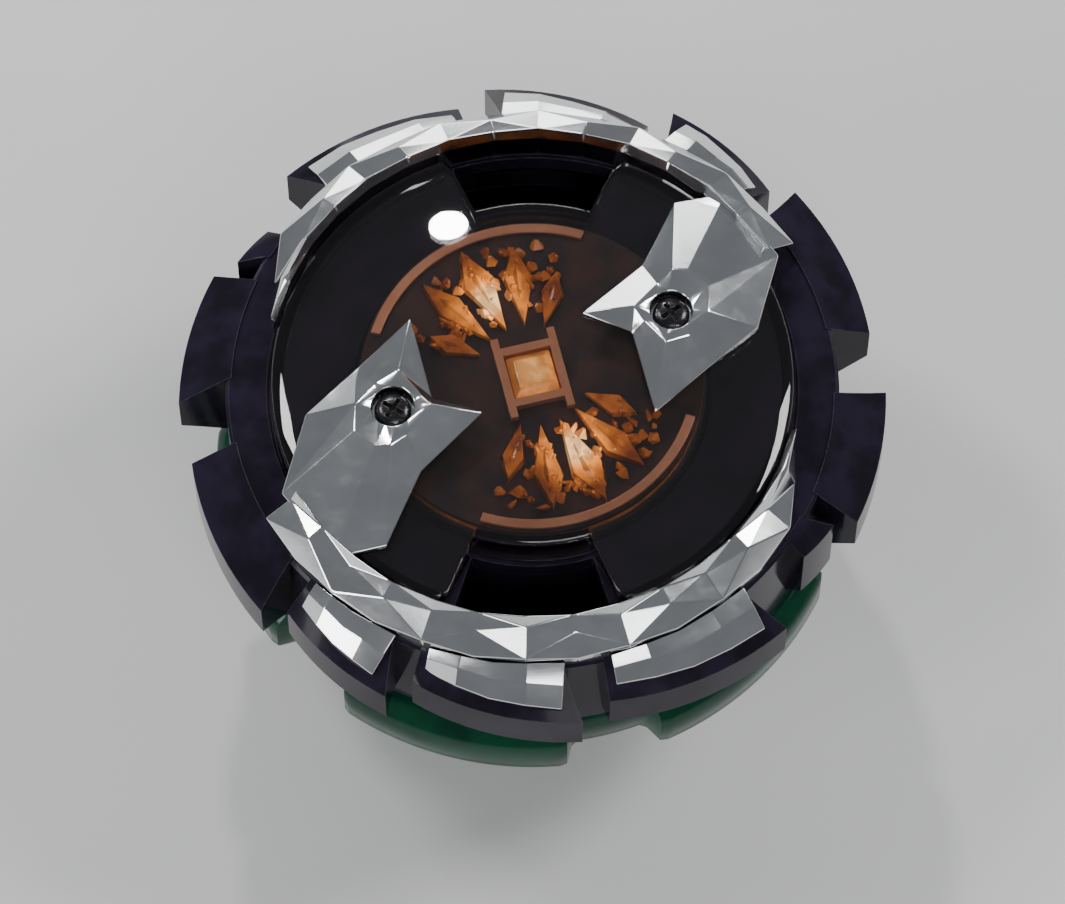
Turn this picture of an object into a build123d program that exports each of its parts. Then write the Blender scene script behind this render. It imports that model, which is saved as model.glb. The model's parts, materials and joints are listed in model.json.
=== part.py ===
"""Light-up spinning top, upright on its tip.

The spin axis is Z and the origin is where the tip's foot meets the ground. The body comes apart
into three groups. The driver is the green lower body with its sprung plunger, its ball bearing and
the free-turning tip. The weight disc is keyed to the driver. The layer is the bladed upper body,
which holds the light module and locks on the driver by three bayonet tabs. Seen from above, the
layer looks the same after half a turn. All sizes are in millimetres.
"""

from build123d import *
import os
from math import cos, degrees, floor, pi, radians, sin, sqrt

# ---------------------------------------------------------------- clearances
RUNNING_GAP = 0.2  # between parts that move past each other
FIT_GAP = 0.2  # between moulded parts that nest
HAIR_GAP = 0.03  # between a trim and the curved surface that it lies on
OVERLAP = 0.2  # how deep the joined shapes of one solid reach into each other
PAST = 1.0  # how far a cutter reaches past what it cuts

# ---------------------------------------------------------------- tip and bearing
SHAFT_RADIUS = 1.0
TIP_FOOT_RADIUS = 2.4
TIP_FOOT_HEIGHT = 1.5
TIP_FOOT_ROUND = 0.5
TIP_FLANGE_RADIUS = 3.9
TIP_FLANGE_THICKNESS = 1.1
TIP_REACH = 2.4  # how far the driver cap stands off the ground
BEARING_RADIUS = 3.0
BEARING_WIDTH = 2.5
BEARING_RACE = 0.55  # thickness of each race
RACE_STEP = 0.05  # how far what seats a race stays clear of the cage
RACE_GROOVE = 0.05  # how deep the balls sit in each race
BALL_SPACING = 1.55  # from ball to ball, in ball diameters
BALL_PLAY = 0.03
CAGE_EDGE = 0.25  # how far the cage reaches past the balls
CAGE_THICKNESS = 0.5
CLIP_THICKNESS = 0.35
CLIP_RADIUS = 1.8
CLIP_GROOVE = 0.25  # how deep the clip sits in the shaft
CLIP_MOUTH = 1.0
CLIP_PLAY = 0.05
SHAFT_END = 0.5  # shaft beyond its clip

# ---------------------------------------------------------------- driver
CAP_BOTTOM_RADIUS = 6.2
CAP_RECESS_DEPTH = 2.0
BEARING_LIP = 0.3
HUB_WALL = 2.2
HUB_SPIGOT = 0.5  # how far the hub stands over the split line
CAP_SHELL = 1.4
CAP_CHAMFER = 0.4
CAP_RIM = 1.0  # upright edge of the cap under the split line
CAP_INSET = 0.4  # how far the cap's top edge stays inside the flange
SEAT_PLATE = 0.6
SEAT_PLATE_HOLE = 1.6
WIRE_RADIUS = 0.35
SPRING_RADIUS = 4.7  # to the middle of the wire
SPRING_TURNS = 5.5
PLUNGER_WALL = 0.9
PLUNGER_TOP = 1.0
PLUNGER_SKIRT = 5.3
PLUNGER_HOLE = 2.0
NECK_WALL = 1.6
NECK_LIP_WIDTH = 0.6
NECK_LIP = 0.9
FLANGE_WIDTH = 4.4  # from the neck to the flange's edge
FLANGE_THICKNESS = 3.0
FLANGE_NOTCH = 1.4
FLANGE_NOTCH_ANGLE = 26
TAB_COUNT = 3
TAB_REACH = 1.8
TAB_ANGLE = 34
TAB_THICKNESS = 1.4
TAB_PLAY = 2  # degrees that an entry is wider than its tab on each side
KEY_WIDTH = 2.0
KEY_HEIGHT = 0.8
KEY_INSET = 2.0  # from the flange's edge to the keys' ends
DRIVER_SCREW_RADIUS = 0.85
DRIVER_SCREW_HEAD = 1.6
DRIVER_SCREW_HEAD_HEIGHT = 0.9
DRIVER_SCREW_SEAT = 1.2  # plastic between the head and the split line
DRIVER_SCREW_BITE = 2.4
DRIVER_POST_WALL = 0.8
SCREW_PLAY = 0.1  # round a shank in its clearance hole
HEAD_PLAY = 0.15  # round a head in its counterbore
RIB_COUNT = 24
RIB_WIDTH = 0.8
RIB_HEIGHT = 0.35
RIB_FOOT = 1.2  # from the cap's underside up to the ribs

# ---------------------------------------------------------------- weight disc
DISC_HUB_HEIGHT = 6.0
DISC_HUB_WALL = 3.3
DISC_WEB = 2.0
DISC_WEB_RISE = 1.2
DISC_WINDOW_COUNT = 6
DISC_WINDOW_ANGLE = 34
DISC_WINDOW_MARGIN = 1.0
DISC_RIM_WIDTH = 2.8
DISC_RIM_HEIGHT = 4.8
DISC_RIM_DROP = 0.6  # from the seat up to the rim's underside
FRAME_WALL = 1.3
FRAME_LIP_WIDTH = 1.0
FRAME_LIP = 0.7
FRAME_BEVEL = 0.5
LOBE_COUNT = 6
LOBE_REACH = 1.8
LOBE_ANGLE = 44
FRAME_INSET = 2.2  # how far the frame's lobes stay inside the blade tips

# ---------------------------------------------------------------- light module
CELL_RADIUS = 6.25
CELL_HEIGHT = 2.0
CELL_CAP_STEP = 0.6
CELL_CAP_HEIGHT = 0.35
CELL_CHAMFER = 0.15
CONTACT_THICKNESS = 0.2
CONTACT_RISE = 0.6
CONTACT_INSET = 1.2
CONTACT_CREST = 3.4
CONTACT_LAND = 0.8
CLIP_STRAP = 2.2
CLIP_FOOT = 1.2
CLIP_PAD = 0.75
BOARD_THICKNESS = 0.8
BOARD_STAND = 0.4  # between the cell and the board
TRAY_WALL = 1.0
TRAY_FLOOR = 0.7
POST_RADIUS = 0.8
POST_ANGLES = (62, 118, 242, 298)
CRADLE_WALL = 0.6
CRADLE_ANGLE = 28
CRADLE_DROP = 0.3  # from the cell's top down to the cradle's
LED_SIDE = 2.8
LED_BASE = 0.5
LED_LENS_RADIUS = 1.1
LED_HEIGHT = 1.2
LED_ORBIT = 6.4
LED_ANGLE = 118
BLOB_RADIUS = 2.0
BLOB_HEIGHT = 0.8
BLOB_ANGLE = 208
RESISTOR = (2.0, 1.2, 0.5, 66)  # length, width, height, angle
CAPACITOR = (1.6, 1.0, 0.9, 166)
CORE_PLATE = 0.7
CORE_AIR = 0.2  # between the LED tops and the core plate
MASK_THICKNESS = 0.5
SHARD_RISE = 0.9
GEM_SIDE = 3.2
GEM_RISE = 1.2
GEM_TURN = 14
GEM_CROWN = 0.4
GEM_BEVEL = 0.5
BEZEL_WIDTH = 0.7
BEZEL_RISE = 0.6
BEZEL_BAR = 0.8  # how far a bar runs past the frame's corners
ARC_WIDTH = 0.7
ARC_THICKNESS = 0.3
ARC_SPAN = (72, 164)
ARC_INSET = 0.2

# ---------------------------------------------------------------- centrifugal switch
SWITCH_HALF_WIDTH = 2.1
SWITCH_WALL = 0.4
SWITCH_CHANNEL = 1.0  # half the width of the channel
SWITCH_LENGTH = 4.1
SWITCH_OFFSET = 0.45  # from the cell's edge to the switch
SWITCH_MARGIN = 0.4  # from the switch's end to the tray's wall
SWITCH_WEIGHT_RADIUS = 0.85
SWITCH_WEIGHT_LENGTH = 1.5
SWITCH_NOSE_RADIUS = 0.35
SWITCH_NOSE = 0.4
SWITCH_TRAVEL = 0.9
SWITCH_SPRING_RADIUS = 0.65
SWITCH_WIRE_RADIUS = 0.08
SWITCH_TURNS = 5

# ---------------------------------------------------------------- layer
BASE_PLATE = 1.2
BASE_RIM = 1.2
CHAMBER_WALL = 1.2
CHAMBER_CEILING = 1.0
RATCHET_HEIGHT = 0.5
RATCHET_COUNT = 12
RATCHET_ANGLE = 9
RATCHET_INNER = 4.6
RATCHET_WIDTH = 1.2
BASE_SCREW_RADIUS = 0.9
BASE_SCREW_HEAD = 1.7
BASE_SCREW_HEAD_HEIGHT = 1.3
BASE_SCREW_SINK = 2.2  # depth of the head's counterbore
BASE_SCREW_BITE = 3.0
BASE_POST_RADIUS = 2.4
BASE_SCREW_ANGLES = (30, 150, 210, 330)
RING_DECK = 1.4
RING_WALL = 1.2
LENS_STEP = 0.6  # how far the outer deck stands over the lens ledge
LEDGE_DROP = 0.7  # from the core plate's underside down to the lens ledge
LAYER_SKIRT = 1.4
BLADE_REACH = 3.4
BLADE_DROP = 2.0  # the blades' upper faces fall by this much to their tips
BLADE_RISE = 2.6  # the blades' lower faces rise by this much to their tips
BLADE_HOOK = 2.6  # degrees by which a blade's tip overhangs its notch
SPUR_DROP = 1.6  # how far the small spurs stay inside the blade tips
SPUR_TAIL = 0.6  # how far a spur's tail stays inside its tip
SLOT_WIDTH = 4.8
SLOT_ANGLE = 36
BAY_MARGIN = 1  # degrees that the lens's bay is wider than the slot on each side
LENS_WALL = 1.0
LENS_RISE = 1.9
LENS_AIR = 0.5  # between the gem and the lens
WING_BAND = 2.8
WING_BEVEL = 1.1  # height of the bevelled part of a wing's head
WING_BEVEL_ANGLE = 32
WING_STEP = 0.1  # ledge round the bevelled part
WING_SCREW_RADIUS = 1.0
WING_SCREW_HEAD = 1.3
WING_SCREW_HEAD_HEIGHT = 0.8
WING_SEAT_WALL = 0.6  # metallised plastic between the lens and the screw's head
WING_SCREW_BITE = 4.0  # how far the shank runs on below the core plate
WING_SCREW_ANGLE = 21
WING_BOSS_WALL = 0.7
WING_HEIGHT = 1.7  # the wings' inner tops over the lens crown
WING_RIM_HEIGHT = 2.0  # the wing bands' outer tops over the deck
TRIM_THICKNESS = 0.55
TRIM_MARGIN = 0.8
TRIM_BULGE = 0.2
CROSS_WIDTH = 0.35
CROSS_DEPTH = 0.5

# Each blade, in one half turn: (tail angle, tip angle, drop of the tail, has a bright trim).
BLADES = (
    (12, 41, 0.5, False),
    (44, 66, 1.3, True),
    (69, 98, 1.7, True),
    (103, 135, 1.2, True),
    (157, 181, 0.3, False),
)
SPURS = ((146, 154),)  # small spurs, in one half turn: (tail angle, tip angle)

# The head of a wing, as (share of the wing band's inner radius, angle), clockwise from the band.
WING_HEAD = (
    (1.06, 46), (0.90, 53), (0.60, 46), (0.28, 48), (0.40, 20),
    (0.50, -23), (0.66, 0), (0.87, 12), (1.06, 28),
)
WING_BAND_START = 25
WING_BAND_END = 167
WING_BAND_TAPER = 30  # degrees over which the band runs out to its point
# The amber shards, in one half turn: (angle, outer radius as a share of the core plate, half width).
SHARDS = ((78, 0.70, 0.75), (98, 0.86, 0.95), (118, 0.92, 1.1), (138, 0.88, 0.95), (158, 0.66, 0.75))
SHARD_INNER = 3.9

# ---------------------------------------------------------------- heights, from the ground up
Z_CAP = TIP_REACH
Z_RECESS = Z_CAP + CAP_RECESS_DEPTH
Z_BEARING = Z_RECESS + BEARING_LIP
Z_BEARING_TOP = Z_BEARING + BEARING_WIDTH
Z_CLIP = Z_BEARING_TOP + CLIP_PLAY
Z_SHAFT_TOP = Z_CLIP + CLIP_THICKNESS + SHAFT_END
Z_SEAT = Z_SHAFT_TOP + 2 * RUNNING_GAP
Z_SPRING = Z_SEAT + SEAT_PLATE
Z_SPLIT = Z_SEAT - HUB_SPIGOT
Z_DISC = Z_SPLIT + FLANGE_THICKNESS
Z_DISC_TOP = Z_DISC + DISC_HUB_HEIGHT
Z_BASE = Z_DISC_TOP + RUNNING_GAP
Z_CHAMBER = Z_BASE + BASE_PLATE
Z_TAB = Z_CHAMBER + RUNNING_GAP
Z_NECK = Z_TAB + TAB_THICKNESS
Z_CEILING = Z_NECK + 2 * RUNNING_GAP
Z_BASE_TOP = Z_CEILING + CHAMBER_CEILING
Z_TEETH = Z_CEILING - RATCHET_HEIGHT - RUNNING_GAP  # tops of the plunger's teeth
Z_SHOULDER = Z_NECK - NECK_LIP - RUNNING_GAP
Z_PLUNGER = Z_SHOULDER - PLUNGER_SKIRT
Z_TRAY = Z_BASE_TOP + TRAY_FLOOR
Z_SWITCH = Z_TRAY + SWITCH_WALL + SWITCH_CHANNEL  # the switch's axis
Z_SWITCH_TOP = Z_SWITCH + SWITCH_CHANNEL + SWITCH_WALL
Z_CELL = Z_TRAY + CONTACT_RISE
Z_CELL_TOP = Z_CELL + CELL_HEIGHT
Z_BOARD = Z_CELL_TOP + BOARD_STAND
Z_BOARD_TOP = Z_BOARD + BOARD_THICKNESS
Z_CORE = Z_BOARD_TOP + LED_HEIGHT + CORE_AIR
Z_MASK = Z_CORE + CORE_PLATE
Z_MASK_TOP = Z_MASK + MASK_THICKNESS
Z_GEM_TOP = Z_MASK + GEM_RISE
Z_CROWN = Z_GEM_TOP + LENS_AIR + LENS_WALL  # top of the lens
Z_LEDGE = Z_CORE - LEDGE_DROP  # the lens's rim rests here
Z_DECK = Z_LEDGE + LENS_STEP
Z_WING_TOP = Z_CROWN + WING_HEIGHT

# ---------------------------------------------------------------- radii, from the axis out
BALL_ORBIT = (SHAFT_RADIUS + BEARING_RADIUS) / 2
BALL_RADIUS = (BEARING_RADIUS - SHAFT_RADIUS) / 2 - BEARING_RACE + RACE_GROOVE
BALL_COUNT = floor(pi * BALL_ORBIT / (BALL_SPACING * BALL_RADIUS))
RACEWAY_RADIUS = BALL_RADIUS + BALL_PLAY
HUB_RADIUS = BEARING_RADIUS + HUB_WALL
PLUNGER_RADIUS = SPRING_RADIUS + WIRE_RADIUS + 2 * RUNNING_GAP + PLUNGER_WALL
NECK_BORE = PLUNGER_RADIUS + RUNNING_GAP
NECK_RADIUS = NECK_BORE + NECK_WALL
FLANGE_RADIUS = NECK_RADIUS + FLANGE_WIDTH
CAP_TOP_RADIUS = FLANGE_RADIUS - CAP_INSET
KEY_RADIUS = FLANGE_RADIUS - KEY_INSET
DRIVER_SCREW_ORBIT = (NECK_BORE + CAP_TOP_RADIUS) / 2
TAB_RADIUS = NECK_RADIUS + TAB_REACH
LIP_BORE = NECK_RADIUS + 1.5 * FIT_GAP
CHAMBER_RADIUS = TAB_RADIUS + 2 * RUNNING_GAP
SWITCH_START = CELL_RADIUS + SWITCH_OFFSET
SWITCH_END = SWITCH_START + SWITCH_LENGTH
TRAY_BORE = SWITCH_END + SWITCH_MARGIN
BOARD_RADIUS = TRAY_BORE - 1.5 * FIT_GAP
TRAY_RADIUS = TRAY_BORE + TRAY_WALL
CORE_RADIUS = TRAY_RADIUS - FIT_GAP
ARC_RADIUS = CORE_RADIUS - ARC_INSET
RING_BORE = TRAY_RADIUS + FIT_GAP
SLOT_INNER = RING_BORE + LENS_WALL + FIT_GAP
LENS_RADIUS = SLOT_INNER + SLOT_WIDTH
BAND_INNER = LENS_RADIUS + FIT_GAP
BAND_OUTER = BAND_INNER + WING_BAND
NOTCH_RADIUS = BAND_OUTER + FIT_GAP
BLADE_RADIUS = NOTCH_RADIUS + BLADE_REACH
BASE_RADIUS = NOTCH_RADIUS - RING_WALL - FIT_GAP
BASE_SCREW_ORBIT = BASE_RADIUS - BASE_RIM / 2 - BASE_POST_RADIUS
WING_BOSS_RADIUS = WING_SCREW_RADIUS + WING_BOSS_WALL
WING_SCREW_ORBIT = TRAY_RADIUS - WING_BOSS_RADIUS - 0.1
DOME_RADIUS = (LENS_RADIUS**2 + LENS_RISE**2) / (2 * LENS_RISE)
DISC_BORE = NECK_RADIUS + 1.5 * FIT_GAP
DISC_HUB_RADIUS = DISC_BORE + DISC_HUB_WALL
FRAME_RADIUS = BLADE_RADIUS - FRAME_INSET
FRAME_BORE = FRAME_RADIUS - LOBE_REACH - FRAME_WALL
DISC_RADIUS = FRAME_BORE - FIT_GAP / 2
DISC_RIM_INNER = DISC_RADIUS - DISC_RIM_WIDTH


# ---------------------------------------------------------------- helpers
def polar(radius, angle, z=0.0):
    """The point at a radius and an angle in degrees about the spin axis."""
    return Vector(radius * cos(radians(angle)), radius * sin(radians(angle)), z)


def rod(radius, bottom, top, at=(0.0, 0.0)):
    """A solid cylinder between two heights."""
    foot = (Align.CENTER, Align.CENTER, Align.MIN)
    return Pos(at[0], at[1], bottom) * Cylinder(radius, top - bottom, align=foot)


def tube(outer, inner, bottom, top):
    """A ring between two heights."""
    return rod(outer, bottom, top) - rod(inner, bottom - 1, top + 1)


def block(low, high):
    """A box between two opposite corners."""
    size = [b - a for a, b in zip(low, high)]
    foot = (Align.MIN, Align.MIN, Align.MIN)
    return Pos(*low) * Box(*size, align=foot)


def turned(*points):
    """A solid turned about the spin axis from a (radius, height) outline."""
    return revolve(Plane.XZ * make_face(Polyline(*points, close=True)), axis=Axis.Z)


def slab(face, bottom, top):
    """A flat outline made solid between two heights."""
    return extrude(Pos(0, 0, bottom) * face, amount=top - bottom)


def sector(inner, outer, start, end):
    """The flat outline of a piece of a ring between two angles in degrees."""
    middle = (start + end) / 2
    edges = [
        Line(polar(inner, start), polar(outer, start)),
        ThreePointArc(polar(outer, start), polar(outer, middle), polar(outer, end)),
        Line(polar(outer, end), polar(inner, end)),
        ThreePointArc(polar(inner, end), polar(inner, middle), polar(inner, start)),
    ]
    return Face(Wire(edges))


def turn(shape, angle):
    """A copy of a shape turned about the spin axis."""
    return Rot(0, 0, angle) * shape


def ring_of(shape, count, first=0.0):
    """Copies of a shape, evenly spaced about the spin axis."""
    return [turn(shape, first + 360 * i / count) for i in range(count)]


def twin(shape):
    """A shape and its copy after half a turn."""
    return [shape, turn(shape, 180)]


def group(solids):
    """Separate solids that share one node."""
    return Compound(children=[s for part in solids for s in part.solids()])


def dome_ball(offset=0.0):
    """The ball whose cap is the lens's outer surface, grown by an offset."""
    return Pos(0, 0, Z_CROWN - DOME_RADIUS) * Sphere(DOME_RADIUS + offset)


def dome_height(radius, offset=0.0):
    """The height of that ball's cap at a radius from the spin axis."""
    return Z_CROWN - DOME_RADIUS + sqrt((DOME_RADIUS + offset) ** 2 - radius**2)


def coil(radius, wire, turns, length):
    """A helical spring that stands on z = 0."""
    path = Helix(pitch=(length - 2 * wire) / turns, height=length - 2 * wire, radius=radius)
    section = Plane(origin=path @ 0, z_dir=path % 0) * Circle(wire)
    return Pos(0, 0, wire) * sweep(section, path=path, is_frenet=True)


def screw(radius, head, head_height, seat, end):
    """A cross-headed screw whose head rests at a height and whose shank ends at another.

    The head lies on the far side of its seat from the end.
    """
    up = 1 if seat > end else -1
    low, high = sorted((seat, seat + up * head_height))
    foot, top = sorted((seat, end))
    body = rod(head, low, high) + rod(radius, foot, top)
    face = seat + up * head_height
    cut_low, cut_high = sorted((face - up * CROSS_DEPTH, face + up))
    reach = 0.7 * head
    for x, y in ((reach, CROSS_WIDTH / 2), (CROSS_WIDTH / 2, reach)):
        body -= block((-x, -y, cut_low), (x, y, cut_high))
    return body


# ---------------------------------------------------------------- tip group
def tip():
    """The turned plastic tip, with a bore pressed on its shaft."""
    foot = TIP_FOOT_RADIUS
    inner_race = SHAFT_RADIUS + BEARING_RACE
    flange_top = Z_RECESS - RUNNING_GAP
    flange = flange_top - TIP_FLANGE_THICKNESS
    body = turned(
        (0, 0), (foot - TIP_FOOT_ROUND, 0), (foot, TIP_FOOT_ROUND), (foot, TIP_FOOT_HEIGHT),
        (TIP_FLANGE_RADIUS, flange), (TIP_FLANGE_RADIUS, flange_top),
        (inner_race - RACE_STEP, flange_top), (inner_race - RACE_STEP, Z_BEARING), (0, Z_BEARING),
    )
    return body - rod(SHAFT_RADIUS, TIP_FOOT_HEIGHT / 2, Z_BEARING + PAST)


def tip_shaft():
    """The steel pin through the tip and the bearing's inner race, grooved for its clip."""
    pin = rod(SHAFT_RADIUS, TIP_FOOT_HEIGHT / 2, Z_SHAFT_TOP)
    return pin - tube(SHAFT_RADIUS + PAST, SHAFT_RADIUS - CLIP_GROOVE, Z_CLIP, Z_CLIP + CLIP_THICKNESS)


def shaft_clip():
    """The spring clip in the shaft's groove, with an open mouth."""
    ring = tube(CLIP_RADIUS, SHAFT_RADIUS - CLIP_GROOVE, Z_CLIP, Z_CLIP + CLIP_THICKNESS)
    mouth = block((0, -CLIP_MOUTH / 2, Z_CLIP - PAST), (CLIP_RADIUS + PAST, CLIP_MOUTH / 2, Z_CLIP + PAST))
    return ring - mouth


def raceway():
    """The round channel that the balls run in."""
    centre = (Z_BEARING + Z_BEARING_TOP) / 2
    return Pos(0, 0, centre) * Torus(BALL_ORBIT, RACEWAY_RADIUS)


def bearing_inner_race():
    """The inner race, pressed on the shaft."""
    return tube(SHAFT_RADIUS + BEARING_RACE, SHAFT_RADIUS, Z_BEARING, Z_BEARING_TOP) - raceway()


def bearing_outer_race():
    """The outer race, pressed in the driver cap."""
    return tube(BEARING_RADIUS, BEARING_RADIUS - BEARING_RACE, Z_BEARING, Z_BEARING_TOP) - raceway()


def ball_at(radius):
    """A ball of a radius in the middle of the raceway."""
    return Pos(BALL_ORBIT, 0, (Z_BEARING + Z_BEARING_TOP) / 2) * Sphere(radius)


def bearing_balls():
    """The steel balls."""
    return group(ring_of(ball_at(BALL_RADIUS), BALL_COUNT))


def bearing_cage():
    """The ring that spaces the balls."""
    centre, half = (Z_BEARING + Z_BEARING_TOP) / 2, CAGE_THICKNESS / 2
    rise = BALL_RADIUS + CAGE_EDGE
    ring = tube(BALL_ORBIT + half, BALL_ORBIT - half, centre - rise, centre + rise)
    drill = Cylinder(BALL_RADIUS + 2 * BALL_PLAY, 3 * CAGE_THICKNESS)
    pocket = Pos(BALL_ORBIT, 0, centre) * Rot(0, 90, 0) * drill
    for cut in ring_of(pocket, BALL_COUNT):
        ring -= cut
    return ring


# ---------------------------------------------------------------- driver group
def driver_screw_spots():
    """Places of the three screws that hold the driver's halves together."""
    return [polar(DRIVER_SCREW_ORBIT, 90 + 120 * i) for i in range(3)]


def cap_cone():
    """The driver cap's outer form up to the split line."""
    return turned(
        (0, Z_CAP), (CAP_BOTTOM_RADIUS - CAP_CHAMFER, Z_CAP), (CAP_BOTTOM_RADIUS, Z_CAP + CAP_CHAMFER),
        (CAP_TOP_RADIUS, Z_SPLIT - CAP_RIM), (CAP_TOP_RADIUS, Z_SPLIT), (0, Z_SPLIT),
    )


def cap_cavity():
    """The room between the cap's conical wall and its hub."""
    slope = (CAP_TOP_RADIUS - CAP_BOTTOM_RADIUS) / (Z_SPLIT - CAP_RIM - Z_CAP - CAP_CHAMFER)
    foot, wall = HUB_RADIUS + CAP_CHAMFER, CAP_TOP_RADIUS - CAP_SHELL
    low = Z_CAP + CAP_CHAMFER + (foot + 1.3 * CAP_SHELL - CAP_BOTTOM_RADIUS) / slope
    return turned(
        (HUB_RADIUS, low), (foot, low), (wall, Z_SPLIT - 0.6 * CAP_RIM), (wall, Z_SPLIT + PAST),
        (HUB_RADIUS, Z_SPLIT + PAST),
    )


def cap_rib():
    """One of the raised ribs that run down the cap's cone."""
    half = RIB_WIDTH / 2
    low, high = Z_CAP + RIB_FOOT, Z_SPLIT - CAP_RIM - 0.1
    strip = block((CAP_BOTTOM_RADIUS - PAST, -half, Z_CAP), (CAP_TOP_RADIUS + PAST, half, Z_SPLIT - CAP_RIM))
    raised = turned(
        (CAP_BOTTOM_RADIUS - PAST, low), (CAP_BOTTOM_RADIUS + RIB_HEIGHT + 0.5 * RIB_FOOT, low),
        (CAP_TOP_RADIUS + 0.1, high - RIB_HEIGHT), (CAP_TOP_RADIUS - PAST, high),
    )
    return strip & raised & rod(CAP_TOP_RADIUS, Z_CAP, Z_SPLIT)


def driver_cap():
    """The conical lower half of the driver, which holds the bearing in its hub."""
    body = cap_cone() + rod(HUB_RADIUS, Z_CAP + CAP_CHAMFER, Z_SEAT) - cap_cavity()
    for spot in driver_screw_spots():
        post = rod(DRIVER_SCREW_HEAD + DRIVER_POST_WALL, Z_CAP + CAP_CHAMFER, Z_SPLIT, (spot.X, spot.Y))
        body += post & cap_cone()
    for rib in ring_of(cap_rib(), RIB_COUNT, 180 / RIB_COUNT):
        body += rib
    body -= rod(TIP_FLANGE_RADIUS + 1.5 * RUNNING_GAP, Z_CAP - PAST, Z_RECESS)
    body -= rod(BEARING_RADIUS - BEARING_RACE + RACE_STEP, Z_CAP, Z_BEARING)
    body -= rod(BEARING_RADIUS, Z_BEARING, Z_SEAT + PAST)
    seat = Z_SPLIT - DRIVER_SCREW_SEAT
    for spot in driver_screw_spots():
        at = (spot.X, spot.Y)
        body -= rod(DRIVER_SCREW_HEAD + HEAD_PLAY, Z_CAP - PAST, seat, at)
        body -= rod(DRIVER_SCREW_RADIUS + SCREW_PLAY, seat - PAST, Z_SPLIT + PAST, at)
    return body


def driver_housing():
    """The upper half of the driver: flange, disc keys, neck and the bayonet tabs."""
    body = rod(FLANGE_RADIUS, Z_SPLIT, Z_DISC) + rod(NECK_RADIUS, Z_SPLIT, Z_NECK)
    half = FLANGE_NOTCH_ANGLE / 2
    notch = sector(FLANGE_RADIUS - FLANGE_NOTCH, FLANGE_RADIUS + PAST, -half, half)
    for cut in ring_of(slab(notch, Z_SPLIT - PAST, Z_DISC + PAST), 3, 30):
        body -= cut
    half = KEY_WIDTH / 2
    for key in twin(block((-half, NECK_RADIUS - OVERLAP, Z_DISC), (half, KEY_RADIUS, Z_DISC + KEY_HEIGHT))):
        body += key
    tab = slab(sector(NECK_RADIUS - OVERLAP, TAB_RADIUS, -TAB_ANGLE / 2, TAB_ANGLE / 2), Z_TAB, Z_NECK)
    for one in ring_of(tab, TAB_COUNT, 90):
        body += one
    body -= rod(NECK_BORE, Z_SPLIT - PAST, Z_NECK - NECK_LIP)
    body -= rod(NECK_BORE - NECK_LIP_WIDTH, Z_NECK - NECK_LIP - PAST, Z_NECK + PAST)
    for spot in driver_screw_spots():
        body -= rod(DRIVER_SCREW_RADIUS, Z_SPLIT - PAST, Z_SPLIT + DRIVER_SCREW_BITE, (spot.X, spot.Y))
    return body


def driver_screws():
    """The three screws that hold the cap on the housing."""
    one = screw(
        DRIVER_SCREW_RADIUS, DRIVER_SCREW_HEAD, DRIVER_SCREW_HEAD_HEIGHT,
        Z_SPLIT - DRIVER_SCREW_SEAT, Z_SPLIT + DRIVER_SCREW_BITE - HAIR_GAP,
    )
    return group([Pos(spot.X, spot.Y, 0) * one for spot in driver_screw_spots()])


def spring_seat():
    """The steel plate on the cap's hub that the plunger's spring stands on."""
    return tube(NECK_BORE - FIT_GAP, SEAT_PLATE_HOLE, Z_SEAT, Z_SPRING)


def plunger():
    """The sprung ring whose teeth click along the layer's ratchet."""
    body = rod(PLUNGER_RADIUS, Z_PLUNGER, Z_SHOULDER)
    raised_radius = NECK_BORE - NECK_LIP_WIDTH - RUNNING_GAP
    face = Z_TEETH - RATCHET_HEIGHT
    body += rod(raised_radius, Z_SHOULDER, face)
    body -= rod(PLUNGER_RADIUS - PLUNGER_WALL, Z_PLUNGER - PAST, Z_SHOULDER - PLUNGER_TOP)
    body -= rod(PLUNGER_HOLE, Z_PLUNGER, Z_NECK + PAST)
    width = min(RATCHET_WIDTH, raised_radius - RATCHET_INNER)
    half = RATCHET_ANGLE / 2
    tooth = slab(sector(RATCHET_INNER, RATCHET_INNER + width, -half, half), face, Z_TEETH)
    for one in ring_of(tooth, RATCHET_COUNT):
        body += one
    return body


def plunger_spring():
    """The coil spring that lifts the plunger."""
    length = Z_SHOULDER - PLUNGER_TOP - Z_SPRING
    return Pos(0, 0, Z_SPRING) * coil(SPRING_RADIUS, WIRE_RADIUS, SPRING_TURNS, length)


def weight_disc():
    """The cast metal disc, keyed to the driver's flange, with a heavy rim and windows in its web."""
    web, rim_low = Z_DISC + DISC_WEB_RISE, Z_DISC + DISC_RIM_DROP
    body = tube(DISC_HUB_RADIUS, DISC_BORE, Z_DISC, Z_DISC_TOP)
    body += tube(DISC_RIM_INNER + OVERLAP, DISC_HUB_RADIUS - OVERLAP, web, web + DISC_WEB)
    body += tube(DISC_RADIUS, DISC_RIM_INNER, rim_low, rim_low + DISC_RIM_HEIGHT)
    half, margin = DISC_WINDOW_ANGLE / 2, DISC_WINDOW_MARGIN
    window = sector(DISC_HUB_RADIUS + margin, DISC_RIM_INNER - margin, -half, half)
    for cut in ring_of(slab(window, Z_DISC, Z_DISC_TOP), DISC_WINDOW_COUNT, 30):
        body -= cut
    half = KEY_WIDTH / 2 + FIT_GAP
    reach, top = KEY_RADIUS + FIT_GAP, Z_DISC + KEY_HEIGHT + FIT_GAP
    for cut in twin(block((-half, DISC_BORE - PAST, Z_DISC - PAST), (half, reach, top))):
        body -= cut
    return body


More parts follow.
